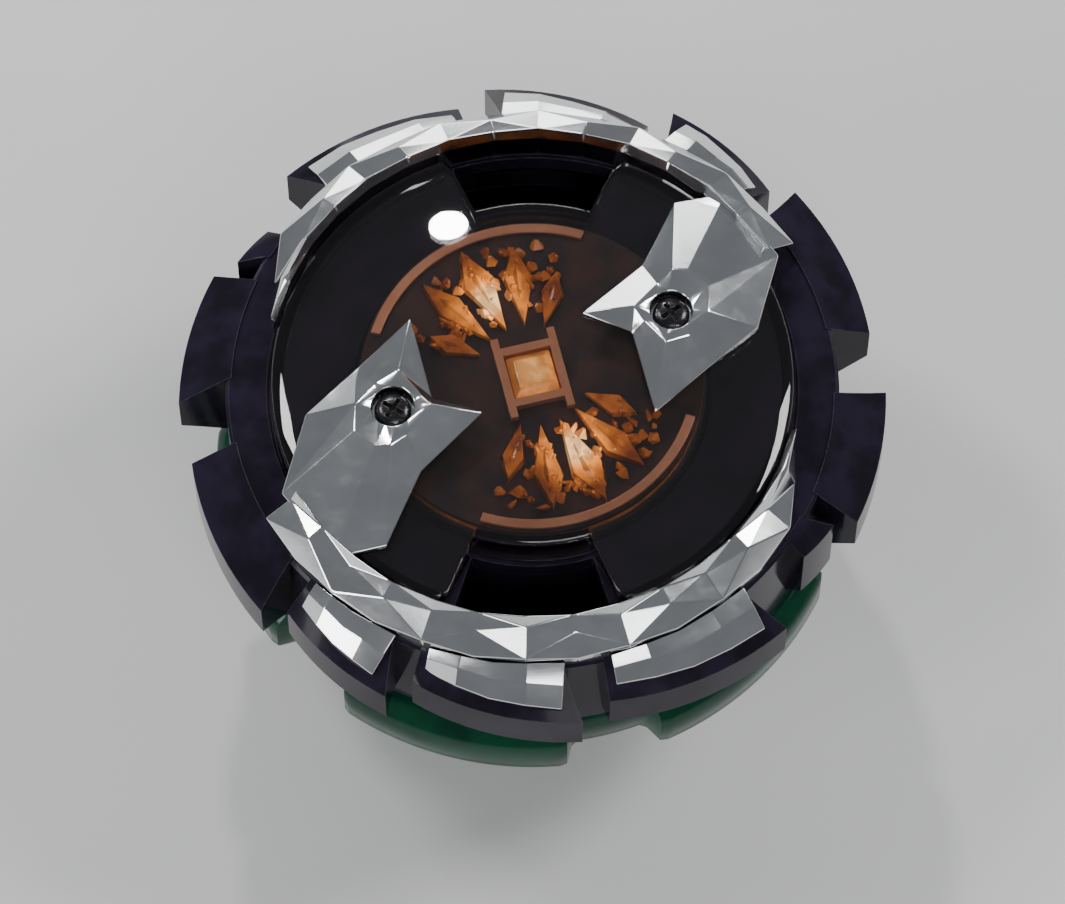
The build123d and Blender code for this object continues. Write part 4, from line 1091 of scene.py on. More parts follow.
def copy_tree() -> Tree:
    """The tree that puts a copy of a part at each row's spot.

    Returns:
        The tree. Its one input besides the material is the part.
    """
    tree = Tree("part_copies", {"Part": "NodeSocketObject"})
    part = tree.add("GeometryNodeObjectInfo", transform_space="ORIGINAL")
    tree.link(tree.source.outputs["Part"], part.inputs["Object"])
    place = tree.add("ShaderNodeCombineXYZ")
    for slot, label in zip(place.inputs, "xyz"):
        tree.link((tree.number(label) * MM).socket, slot)
    spread = tree.add("GeometryNodeSetPosition")
    tree.link(tree.source.outputs["Geometry"], spread.inputs["Geometry"])
    tree.link(place.outputs[0], spread.inputs["Position"])
    turn = tree.add("ShaderNodeCombineXYZ")
    tree.link(tree.number("tilt").sum("RADIANS").socket, turn.inputs["X"])
    tree.link(tree.number("turn").sum("RADIANS").socket, turn.inputs["Z"])
    euler = tree.add("FunctionNodeEulerToRotation")
    tree.link(turn.outputs[0], euler.inputs[0])
    size = tree.add("ShaderNodeCombineXYZ")
    for slot, label in zip(size.inputs, ("long", "wide", "high")):
        tree.link(tree.attribute(label), slot)
    copy = tree.add("GeometryNodeInstanceOnPoints")
    tree.link(spread.outputs[0], copy.inputs["Points"])
    tree.link(part.outputs["Geometry"], copy.inputs["Instance"])
    tree.link(euler.outputs[0], copy.inputs["Rotation"])
    tree.link(size.outputs[0], copy.inputs["Scale"])
    tree.finish(copy.outputs[0])
    return tree


def chip_tree() -> Tree:
    """The tree that scatters rough chips over a surface.

    Returns:
        The tree. Its inputs are the chips' number for each square metre, their smallest and largest
        size in metres, and the seed of their places, turns and sizes.
    """
    tree = Tree("scattered_chips", {
        "Density": "NodeSocketFloat", "Smallest": "NodeSocketVector", "Largest": "NodeSocketVector",
        "Seed": "NodeSocketInt",
    })
    given = tree.source.outputs
    points = tree.add("GeometryNodeDistributePointsOnFaces")
    tree.link(given["Geometry"], points.inputs["Mesh"])
    tree.link(given["Density"], points.inputs["Density"])
    tree.link(given["Seed"], points.inputs["Seed"])
    stone = tree.add("GeometryNodeMeshCone")
    for label, value in (("Vertices", 5), ("Radius Top", 0.28), ("Radius Bottom", 1.0), ("Depth", 1.9)):
        stone.inputs[label].default_value = value
    lean, whole_turn = 0.6, 6.28
    turn = tree.add("FunctionNodeRandomValue", data_type="FLOAT_VECTOR")
    turn.inputs["Min"].default_value = (-lean, -lean, 0.0)
    turn.inputs["Max"].default_value = (lean, lean, whole_turn)
    size = tree.add("FunctionNodeRandomValue", data_type="FLOAT_VECTOR")
    tree.link(given["Smallest"], size.inputs["Min"])
    tree.link(given["Largest"], size.inputs["Max"])
    for node in (turn, size):
        tree.link(given["Seed"], node.inputs["Seed"])
    copy = tree.add("GeometryNodeInstanceOnPoints")
    tree.link(points.outputs["Points"], copy.inputs["Points"])
    tree.link(stone.outputs["Mesh"], copy.inputs["Instance"])
    tree.link(turn.outputs[0], copy.inputs["Rotation"])
    tree.link(size.outputs[0], copy.inputs["Scale"])
    tree.finish(copy.outputs[0])
    return tree


ARCS = arc_tree()
COPIES = copy_tree()
CHIPS = chip_tree()


def arc_blocks(name: str, rows: Sequence[Arc], finish: Finish, across: int, along: int,
               bulge: float = 0.0, ridge: float = 0.0, facet: float = 0.0) -> bpy.types.Object:
    """Blocks bent about the axis, made by the arc tree.

    Args:
        name: The object's name.
        rows: One row for each block.
        finish: The blocks' finish.
        across: Steps from the inner to the outer radius.
        along: Steps from the start to the end.
        bulge: How far the outer edge bulges, as a share of its change in radius.
        ridge: Height of the ridge along the middle.
        facet: Height of the facets.

    Returns:
        The new object.
    """
    return ARCS.run(row_object(name, rows), finish, Across=across, Along=along, Bulge=bulge,
                    Ridge=ridge, Facet=facet)


def part_copies(name: str, part: bpy.types.Object, spots: Sequence[Spot],
                finish: Finish | PaintedGlowFinish) -> bpy.types.Object:
    """Copies of a part, made by the copy tree. The part itself is dropped.

    Args:
        name: The object's name.
        part: The part.
        spots: Where the copies stand.
        finish: Their finish.

    Returns:
        The new object.
    """
    piece = COPIES.run(row_object(name, spots), finish, Part=part)
    bpy.data.objects.remove(part)
    return piece


def both_halves(rows: Sequence[tuple]) -> list[tuple]:
    """The rows of a half-turn table, whose first two values are angles, for the whole turn."""
    return [(row[0] + add, row[1] + add, *row[2:]) for add in (0, 180) for row in rows]


# -------------------------------- screws
def cross_screw(name: str, radius: float, head: float, head_height: float,
                length: float) -> bpy.types.Object:
    """A cross-headed screw that stands on z = 0 with its shank below.

    Args:
        name: The object's name.
        radius: Radius of the shank in mm.
        head: Radius of the head.
        head_height: Height of the head.
        length: Length of the shank.

    Returns:
        The screw.
    """
    top = head_height
    bead = 0.06  # the chamfer under the head
    point = 0.5  # the cone at the shank's end
    screw = lathe(name, [
        (0, top), (0.5 * head, top), (0.8 * head, top - 0.06 * head), (0.95 * head, top - 0.2 * head),
        (head, top - 0.42 * head), (head, bead), (head - bead, 0), (radius, 0), (radius, point - length),
        (0.5 * radius, -length), (0, -length),
    ], steps=28, closed=False)
    reach, slot, depth = 0.62 * head, 0.13 * head, 0.5 * head_height
    for long, wide in ((reach, slot), (slot, reach)):
        signs = ((-1, -1), (1, -1), (1, 1), (-1, 1))
        corners = [Vector((x * long, y * wide, 0)) for x, y in signs]
        cut_away(screw, prism("cross", corners, top - depth, top + PAST))
    return shade(screw, 35)


@dataclass(frozen=True)
class ScrewSet:
    """Equal screws up through a floor, heads down, round the spin axis.

    Attributes:
        name: The piece's name.
        node: The CAD node that they stand for.
        body: The body that they ride on.
        angles: Where they stand.
        orbit: Their distance from the spin axis.
        radius: Radius of their shanks.
        head: Radius of their heads.
        head_height: Height of their heads.
        twist: How many times its own angle each screw is turned, so that the crosses lie unlike.
    """

    name: str
    node: str
    body: Body
    angles: tuple[int, ...]
    orbit: float
    radius: float
    head: float
    head_height: float
    twist: int

    @classmethod
    def of_layer(cls) -> "ScrewSet":
        """The four screws up through the layer's floor.

        Returns:
            The set.
        """
        head = 1.7
        low = low_point("base_screws")
        orbit = hypot(low.x + head, low.y + head)
        return cls("layer_screws", "base_screws", Body.LAYER, (30, 150, 210, 330), orbit,
                   radius=0.9, head=head, head_height=1.3, twist=3)

    @classmethod
    def of_driver(cls) -> "ScrewSet":
        """The three screws up through the driver's cap.

        Returns:
            The set.
        """
        head = 1.6
        orbit = high_point("driver_screws").y - head
        return cls("cap_screws", "driver_screws", Body.DRIVER, (90, 210, 330), orbit,
                   radius=0.85, head=head, head_height=0.9, twist=2)

    def build(self) -> None:
        """Makes the screws."""
        floor = low_point(self.node).z + self.head_height
        length = high_point(self.node).z - floor
        screw = cross_screw("screw", self.radius, self.head, self.head_height, length)
        spots = [Spot(*polar(self.orbit, a).xy, floor, turn=self.twist * a, tilt=180) for a in self.angles]
        screws = part_copies(self.name, screw, spots, BLACK_STEEL)
        seat(screws, BLACK_STEEL, self.body, "screw_black", self.node)


# -------------------------------- blade ring
@dataclass
class BladeRing:
    """The black upper body: the ring that carries the lens, its swept blades and their bright trims.

    Attributes:
        blades: In one half turn, each blade's tail angle, tip angle, drop of the tail and whether it
            has a trim.
        spurs: In one half turn, each small spur's tail angle and tip angle.
        hook: Degrees by which a blade's tip hangs over its root.
        blade_reach: How far the blades stand out from the ring.
        drop: How far their upper faces fall to their tips.
        rise: How far their lower faces rise to their tips.
        skirt: Height of the ring below the blades' roots.
        wall: Thickness of the ring's two walls.
        deck_thickness: Thickness of the deck between them.
        lens_play: Gap round the lens's edge.
        slot_angle: Angle that a launcher slot spans.
        slot_margin: How far a slot stays off the inner wall.
        edge: Width of the rounded edges.
        root_sink: How far the blades' upper faces lie below the deck at their roots.
        spur_drop: How far the spurs' tips stay behind the blades' tips.
        spur_taper: How far a spur's tail stays behind its tip.
        trim_edge: Width of the black edge outside a trim.
        trim_thickness: Thickness of a trim.
        trim_thinning: How much thinner it is at its outer edge.
        trim_lap: How far it reaches in over the ring.
        trim_sink: How far it reaches into its blade.
        trim_tail: Degrees between a blade's tail and its trim's.
        trim_tip: Degrees between a blade's tip and its trim's.
        trim_hook: Degrees by which a trim's tip leans back.
        trim_ridge: Height of the ridge along a trim.
        trim_facet: Height of a trim's facets.
        post_radius: Radius of the screw posts.
    """

    blades: tuple[tuple[float, float, float, bool], ...] = (
        (12, 41, 0.5, False), (44, 66, 1.3, True), (69, 98, 1.7, True), (103, 135, 1.2, True),
        (157, 181, 0.3, False),
    )
    spurs: tuple[tuple[float, float], ...] = ((146, 154),)
    hook: float = 2.6
    blade_reach: float = 3.4
    drop: float = 2.0
    rise: float = 2.6
    skirt: float = 1.4
    wall: float = 1.2
    deck_thickness: float = 1.4
    lens_play: float = 0.1
    slot_angle: float = 36
    slot_margin: float = 0.03
    edge: float = 0.22
    root_sink: float = 0.04
    spur_drop: float = 1.6
    spur_taper: float = 0.6
    trim_edge: float = 0.8
    trim_thickness: float = 0.5
    trim_thinning: float = 0.15
    trim_lap: float = 0.15
    trim_sink: float = 0.1
    trim_tail: float = 1.6
    trim_tip: float = 3.2
    trim_hook: float = -1.2
    trim_ridge: float = 0.16
    trim_facet: float = 0.34
    post_radius: float = 2.4

    def __post_init__(self) -> None:
        """Takes the ring's main sizes from the frame."""
        self.low = low_point("blade_ring").z
        self.deck = high_point("blade_ring").z
        self.ledge = low_point("lens_dome").z
        self.reach = max(spokes("blade_ring"))
        self.bore = min(spokes("blade_ring"))
        self.notch = self.reach - self.blade_reach
        self.lens = max(spokes("lens_dome"))
        self.floor = high_point("layer_base").z

    def slope(self, radius: float) -> float:
        """Height of the blades' upper faces at a radius."""
        return self.deck - self.drop * (radius - self.notch) / self.blade_reach

    def ring(self) -> bpy.types.Object:
        """The ring without its blades, with both launcher slots cut through its deck.

        Returns:
            The ring.
        """
        e, inner, outer = self.edge, self.bore, self.notch
        pocket, under = outer - self.wall, self.ledge - self.deck_thickness
        step, seat_edge = self.bore + self.wall, self.lens + self.lens_play
        ring = lathe("blade_body", [
            (inner, self.ledge - e), (inner + e, self.ledge), (seat_edge, self.ledge),
            (seat_edge, self.deck - e), (seat_edge + e, self.deck), (outer - e, self.deck),
            (outer, self.deck - e), (outer, self.low + e), (outer - e, self.low), (pocket + e, self.low),
            (pocket, self.low + e), (pocket, under), (step, under), (step, self.floor), (inner, self.floor),
        ], steps=180)
        half = self.slot_angle / 2
        for middle in (90, 270):
            outline = sector(step + self.slot_margin, self.lens, middle - half, middle + half, steps=18)
            cut_away(ring, prism("slot", outline, under - PAST, self.deck + PAST))
        return shade(ring, 32)

    def teeth(self) -> bpy.types.Object:
        """All the blades and spurs, with rounded edges.

        Returns:
            Them as one piece.
        """
        rows = [
            self.tooth(tail, tip, self.reach - drop, self.reach)
            for tail, tip, drop, _ in both_halves(self.blades)
        ]
        spur = self.reach - self.spur_drop
        rows += [
            self.tooth(tail, tip, spur - self.spur_taper, spur) for tail, tip in both_halves(self.spurs)
        ]
        teeth = arc_blocks("blades", rows, GLOSS_BLACK, across=3, along=12, bulge=0.4)
        return soften(teeth, self.edge, segments=3, angle=35)

    def tooth(self, tail: float, tip: float, tail_radius: float, tip_radius: float) -> Arc:
        """One blade or spur.

        Args:
            tail: Angle of its tail.
            tip: Angle of its tip.
            tail_radius: Its outer radius at its tail.
            tip_radius: Its outer radius at its tip.

        Returns:
            Its arc.
        """
        foot = self.low + self.skirt
        inner = self.notch - OVERLAP
        lean = self.rise / self.blade_reach
        return Arc(
            start=tail, end=tip, inner=inner, outer_start=tail_radius, outer_end=tip_radius,
            low_inner=foot - lean * OVERLAP, low_outer=foot + lean * (tip_radius - self.notch),
            high_inner=self.slope(inner) - self.root_sink, high_outer=self.slope(tip_radius),
            hook=self.hook,
        )

    def trims(self) -> bpy.types.Object:
        """The bright faceted plates on the sloping tops of the longer blades.

        Returns:
            Them as one piece.
        """
        outer = self.reach - self.trim_edge
        rows = [
            Arc(
                start=tail + self.trim_tail, end=tip - self.trim_tip, inner=self.notch - self.trim_lap,
                outer_start=outer - drop, outer_end=outer,
                low_inner=self.deck - self.trim_sink, low_outer=self.slope(outer) - self.trim_sink / 2,
                high_inner=self.deck + self.trim_thickness,
                high_outer=self.slope(outer) + self.trim_thickness - self.trim_thinning,
                hook=self.trim_hook,
            )
            for tail, tip, drop, trimmed in both_halves(self.blades) if trimmed
        ]
        trims = arc_blocks("blade_trims_bright", rows, BRIGHT_PLATE, across=2, along=4, bulge=0.4,
                           ridge=self.trim_ridge, facet=self.trim_facet)
        return soften(trims, 0.07, segments=1, angle=9)

    def posts(self) -> bpy.types.Object:
        """The four screw posts under the deck.

        Returns:
            Them as one piece.
        """
        screws = ScrewSet.of_layer()
        under = self.ledge - self.deck_thickness + OVERLAP / 2
        post = lathe("post", [
            (0, self.floor), (self.post_radius, self.floor), (self.post_radius, under), (0, under),
        ], steps=32, closed=False)
        spots = [Spot(*polar(screws.orbit, angle).xy, 0) for angle in screws.angles]
        return shade(part_copies("screw_posts", post, spots, GLOSS_BLACK), 40)

    def build(self) -> None:
        """Makes the ring, its blades, trims and posts."""
        seat(self.ring(), GLOSS_BLACK, Body.LAYER, "body_black", "blade_ring")
        seat(self.teeth(), GLOSS_BLACK, Body.LAYER, "body_black", "blade_ring")
        seat(self.posts(), GLOSS_BLACK, Body.LAYER, "body_black", "blade_ring")
        seat(self.trims(), BRIGHT_PLATE, Body.LAYER, "bright_plate", "blade_trims")


# -------------------------------- wings
@dataclass(frozen=True)
class Corner:
    """One corner of a wing's head.

    Attributes:
        share: Its distance from the spin axis as a share of the band's inner radius.
        angle: Its angle.
        rise: Height of the head's edge over the lens there.
        ridge: Share of the way from the screw to the corner at which its flank starts.
    """

    share: float
    angle: float
    rise: float
    ridge: float

    def is_spike(self) -> bool:
        """Whether a ridge runs out to it. The head dips towards the others."""
        return self.rise > SPIKE


@dataclass
class Wings:
    """The two bright wings: a faceted head over the lens, and a band that sweeps on along its edge.

    Attributes:
        head: The head's corners.
        dip: How far the head dips towards the corners that aren't spikes.
        beak: Share of the band's inner radius up to which the head keeps its full height.
        shoulder: Share of that radius at which its steeper fall starts.
        fall: Share of the head's rise that its ridges lose between the beak and the shoulder.
        edge_fall: Share of the rise by which they end below the dome's crown.
        band_start: Angle at which the band starts inside the head.
        band_full: Angle up to which the band keeps its full width.
        band_end: Angle of the band's point.
        facet_angle: Degrees between the band's facets.
        width: Full width of the band.
        point_width: Its least width, at its point.
        overrun: Degrees past its point at which its width would reach nothing.
        tail_fall: How far its crest sinks towards its point.
        inner_fall: Share of that sinking that its inner edge takes.
        outer_fall: Share of it that its outer edge takes.
        lap: How far it stands over the lens's edge.
        slant: Width of the slope from there up to the peak.
        peak: Share of the head's rise by which the peak lies below the dome's crown.
        crest: Share of the width at which the crest lies.
        ridge: Share of the rise by which the crest lies below the dome's crown.
        rim: Height of the outer edge over the deck.
        peak_fold: How far from one facet to the next the peak swings about its middle value.
        crest_fold: How far the crest does across the band.
        ridge_fold: How far it does up and down.
        rim_fold: How far the outer edge does.
        sink: How far the band reaches into the deck.
        screw_orbit: Distance of the screw from the spin axis.
        screw_angle: Its angle.
        screw_radius: Radius of its shank.
        screw_head: Radius of its head.
        screw_head_height: Height of its head.
        screw_seat: Thickness of the wing under its head.
        recess: Radius of the recess round it.
        lip_drop: How far the recess's lip lies below the head's ridges.
        lens_play: Gap between the band and the lens.
    """

    head: tuple[Corner, ...] = (
        Corner(1.06, 46, 0.5, 0.30), Corner(0.90, 53, 0.3, 0.32), Corner(0.60, 46, 0.15, 0.5),
        Corner(0.28, 48, 0.45, 0.42), Corner(0.40, 20, 0.15, 0.72), Corner(0.50, -23, 0.35, 0.36),
        Corner(0.66, 0, 0.2, 0.5), Corner(0.87, 12, 0.4, 0.42), Corner(1.06, 28, 0.5, 0.34),
    )
    dip: float = 0.45
    beak: float = 0.34
    shoulder: float = 0.8
    fall: float = 0.4
    edge_fall: float = 0.3
    band_start: float = 30
    band_full: float = 144
    band_end: float = 167
    facet_angle: float = 9.5
    width: float = 2.8
    point_width: float = 0.25
    overrun: float = 2
    tail_fall: float = 0.9
    inner_fall: float = 0.4
    outer_fall: float = 0.6
    lap: float = 0.5
    slant: float = 0.35
    peak: float = 0.36
    crest: float = 0.42
    ridge: float = 0.72
    rim: float = 0.95
    peak_fold: float = 0.07
    crest_fold: float = 0.13
    ridge_fold: float = 0.10
    rim_fold: float = 0.2
    sink: float = 0.1
    screw_orbit: float = 10.4
    screw_angle: float = 21
    screw_radius: float = 1.0
    screw_head: float = 1.3
    screw_head_height: float = 0.8
    screw_seat: float = 0.6
    recess: float = 1.5
    lip_drop: float = 0.3
    lens_play: float = 0.2

    def __post_init__(self) -> None:
        """Takes the wings' main sizes from the frame."""
        self.inner = max(spokes("lens_dome")) + self.lens_play
        self.deck = high_point("blade_ring").z
        self.top = high_point("wing_right").z
        self.rise = self.top - DOME.crown

    def crown(self, radius: float) -> float:
        """Height of the head's ridges at a radius from the axis.

        Args:
            radius: The radius.

        Returns:
            The height.
        """
        beak, shoulder = self.beak * self.inner, self.shoulder * self.inner
        if radius <= beak:
            return self.top
        if radius <= shoulder:
            return self.top - self.fall * self.rise * (radius - beak) / (shoulder - beak)
        edge = DOME.crown - self.edge_fall * self.rise
        share = min(1.0, (radius - shoulder) / (self.inner - shoulder))
        return self.top - self.fall * self.rise + (edge - self.top + self.fall * self.rise) * share

    def head_piece(self, name: str) -> bpy.types.Object:
        """The faceted head: its flanks fall from a collar round the screw to its corners.

        Args:
            name: The object's name.

        Returns:
            The head.
        """
        middle = polar(self.screw_orbit, self.screw_angle)
        corners = [polar(corner.share * self.inner, corner.angle) for corner in self.head]
        under = [DOME.height(min(p.length, self.inner)) + CLEARANCE for p in corners]
        foot = [Vector((p.x, p.y, z)) for p, z in zip(corners, under)]
        edge = [Vector((p.x, p.y, z + corner.rise)) for p, z, corner in zip(corners, under, self.head)]
        lip = self.lip(middle, corners)
        seat_height = DOME.height(self.screw_orbit) + self.screw_seat
        recess = [Vector((p.x, p.y, seat_height)) for p in lip]
        centre = Vector((middle.x, middle.y, DOME.height(self.screw_orbit) + CLEARANCE))
        points = foot + edge + self.collar(middle, corners) + lip + recess + [centre]
        return make_piece(name, points, self.head_faces())

    def collar(self, middle: Vector, corners: Sequence[Vector]) -> list[Vector]:
        """The points round the screw from which the flanks fall.

        Args:
            middle: The place of the screw.
            corners: The places of the head's corners.

        Returns:
            One point for each corner.
        """
        collar = []
        for place, corner in zip(corners, self.head):
            spot = middle + (place - middle) * corner.ridge
            drop = 0.0 if corner.is_spike() else self.dip
            collar.append(Vector((spot.x, spot.y, self.crown(spot.length) - drop)))
        return collar

    def lip(self, middle: Vector, corners: Sequence[Vector]) -> list[Vector]:
        """The round edge of the screw's recess, with three points for each corner of the head.

        Args:
            middle: The place of the screw.
            corners: The places of the head's corners.

        Returns:
            The points.
        """
        angles = [atan2(p.y - middle.y, p.x - middle.x) for p in corners]
        lip = []
        for i, angle in enumerate(angles):
            turn = (angles[(i + 1) % len(angles)] - angle) % tau
            for share in (0, 1 / 3, 2 / 3):
                spot = middle + polar(self.recess, degrees(angle + share * turn))
                lip.append(Vector((spot.x, spot.y, self.crown(spot.length) - self.lip_drop)))
        return lip

    def head_faces(self) -> list[tuple[int, ...]]:
        """The head's faces: its wall, its flanks, the slope to the lip, the recess and the underside.

        Returns:
            The faces as point numbers. The foot, the edge and the collar have one point for each corner,
            the lip and the recess have three, and the centre comes last.
        """
        count = len(self.head)
        ring = 3 * count
        faces: list[tuple[int, ...]] = []
        for i, corner in enumerate(self.head):
            j = (i + 1) % count
            faces.append((i, j, count + j, count + i))
            a, b, c, d = count + i, count + j, 2 * count + j, 2 * count + i
            faces += [(a, b, d), (b, c, d)] if corner.is_spike() else [(a, b, c), (a, c, d)]
            e, f, g, h = (ring + (3 * i + k) % ring for k in range(4))
            faces += [(d, e, f), (d, f, c), (c, f, g), (c, g, h)]
        for i in range(ring):
            j = (i + 1) % ring
            faces.append((ring + i, ring + j, 2 * ring + j, 2 * ring + i))
        faces.append(tuple(range(2 * ring, 3 * ring)))
        return faces + [((i + 1) % count, i, 3 * ring) for i in range(count)]

    def band_section(self, angle: float, turned: int) -> list[Vector]:
        """The band's section at an angle.

        Args:
            angle: The angle.
            turned: 1 and -1 in turn, which folds the band into facets.

        Returns:
            The six corners of the section, from the foot of its inner wall to that of its outer one.
        """
        taper = 1 - smooth(angle, self.band_full, self.band_end + self.overrun)
        fall = self.tail_fall * (1 - taper)
        outer = self.inner + max(self.point_width, self.width * taper)
        crest = self.inner + (outer - self.inner) * (self.crest + self.crest_fold * turned)
        foot = self.deck - self.sink
        peak = DOME.crown - (self.peak + self.peak_fold * turned) * self.rise
        ridge = DOME.crown - (self.ridge - self.ridge_fold * turned) * self.rise
        rim = self.deck + self.rim - self.rim_fold * turned
        return [
            polar(self.inner, angle, foot),
            polar(self.inner, angle, DOME.height(self.inner) + self.lap - fall * self.inner_fall),
            polar(self.inner + self.slant, angle, peak - fall),
            polar(crest, angle, ridge - fall),
            polar(outer, angle, rim - self.outer_fall * fall),
            polar(outer, angle, foot),
        ]

    def band_piece(self) -> bpy.types.Object:
        """The faceted band, which runs out to a point.

        Returns:
            The band.
        """
        span = self.band_end - self.band_start
        steps = round(span / self.facet_angle)
        sections = [
            self.band_section(self.band_start + span * i / steps, 1 if i % 2 else -1)
            for i in range(steps + 1)
        ]
        ring = len(sections[0])
        faces: list[tuple[int, ...]] = []
        for i in range(steps):
            for j in range(ring):
                k = (j + 1) % ring
                faces.append((i * ring + j, (i + 1) * ring + j, (i + 1) * ring + k, i * ring + k))
        faces += [tuple(range(ring)), tuple(range(steps * ring, (steps + 1) * ring))]
        return make_piece("band", [point for section in sections for point in section], faces)

    def wing(self, name: str, turn: float) -> bpy.types.Object:
        """One whole wing, turned about the axis.

        Args:
            name: The object's name.
            turn: Its turn in degrees.

        Returns:
            The wing.
        """
        head, band = self.head_piece(name), self.band_piece()
        work = bmesh.new()
        work.from_mesh(head.data)
        work.from_mesh(band.data)
        turned = Matrix.Rotation(radians(turn), 3, "Z")
        bmesh.ops.rotate(work, verts=work.verts, cent=(0, 0, 0), matrix=turned)
        bmesh.ops.triangulate(work, faces=[f for f in work.faces if len(f.verts) == 4])
        work.to_mesh(head.data)
        work.free()
        bpy.data.objects.remove(band)
        return soften(head, 0.09, segments=2, angle=7)

    def screws(self) -> bpy.types.Object:
        """The two dark screws in the heads.

        Returns:
            Them as one piece.
        """
        floor = DOME.height(self.screw_orbit) + self.screw_seat
        screw = cross_screw("screw", self.screw_radius, self.screw_head, self.screw_head_height,
                            floor - low_point("wing_screws").z)
        spots = [
            Spot(*polar(self.screw_orbit, self.screw_angle + add).xy, floor, turn=turn)
            for add, turn in ((0, 35), (180, 57))
        ]
        return part_copies("head_screws", screw, spots, BLACK_STEEL)

    def build(self) -> None:
        """Makes both wings and their screws."""
        seat(self.wing("wing_right_faceted", 0), BRIGHT_PLATE, Body.LAYER, "bright_plate", "wing_right")
        seat(self.wing("wing_left_faceted", 180), BRIGHT_PLATE, Body.LAYER, "bright_plate", "wing_left")
        seat(self.screws(), BLACK_STEEL, Body.LAYER, "screw_black", "wing_screws")


# -------------------------------- lens
@dataclass
class Lens:
    """The smoked dome, with a bay in its edge over each launcher slot.

    Attributes:
        wall: Thickness of the dome.
        bay_half: Half the angle that a bay spans.
        bay_round: Degrees over which a bay runs out into the edge.
        round: Width of the rounding at the top of the edge.
        foot_round: Width of the chamfer at its foot.
        rings: Rings of facets from the crown to the edge.
        steps: Facets in each ring.
    """

    wall: float = 1.0
    bay_half: float = 18.6
    bay_round: float = 1.2
    round: float = 0.35
    foot_round: float = 0.15
    rings: int = 20
    steps: int = 240

    def __post_init__(self) -> None:
        """Takes the lens's main sizes from the frame."""
        self.radius = max(spokes("lens_dome"))
        self.low = low_point("lens_dome").z
        skin = frame["nodes"]["lens_dome"].data.vertices
        self.bay = max(hypot(v.co.x, v.co.y) / MM for v in skin if abs(v.co.x) < 0.5 * MM)

    def edge(self, angle: float) -> float:
        """Radius of the lens's edge at an angle."""
        out = smooth(abs((angle % 180) - 90), self.bay_half, self.bay_half + self.bay_round)
        return self.bay + (self.radius - self.bay) * out

    def skin(self, share: float, inset: float, offset: float = 0.0, down: float = 0.0) -> Section:
        """A ring of the domed skin.

        Args:
            share: Share of the way out to the edge.
            inset: How far the skin's own edge lies inside the lens's.
            offset: How far it lies outside the dome.
            down: How far it is moved down.

        Returns:
            The ring's place at each angle.
        """
        def at(angle: float) -> tuple[float, float]:
            """Its radius and height at an angle."""
            radius = share * (self.edge(angle) - inset)
            return radius, DOME.height(radius, offset) - down
        return at

    def side(self, inset: float, height: float) -> Section:
        """A ring of the edge's wall at a height."""
        return lambda angle: (self.edge(angle) - inset, height)

    def build(self) -> None:
        """Makes the dome: its outer skin, its edge and its inner skin."""
        shares = [i / self.rings for i in range(self.rings + 1)]
        rows = [self.skin(share, self.round) for share in shares]
        halfway = 0.3 * self.round
        rows += [
            self.skin(1.0, halfway, down=halfway), self.skin(1.0, 0.0, down=self.round),
            self.side(0.0, self.low + self.foot_round), self.side(self.foot_round, self.low),
            self.side(self.wall, self.low),
        ]
        rows += [self.skin(share, self.wall, offset=-self.wall) for share in reversed(shares)]
        lens = swept("smoked_dome", rows, full_turn(self.steps), closed=False)
        seat(shade(lens, 50), SMOKED, Body.LAYER, "smoked_lens", "lens_dome")


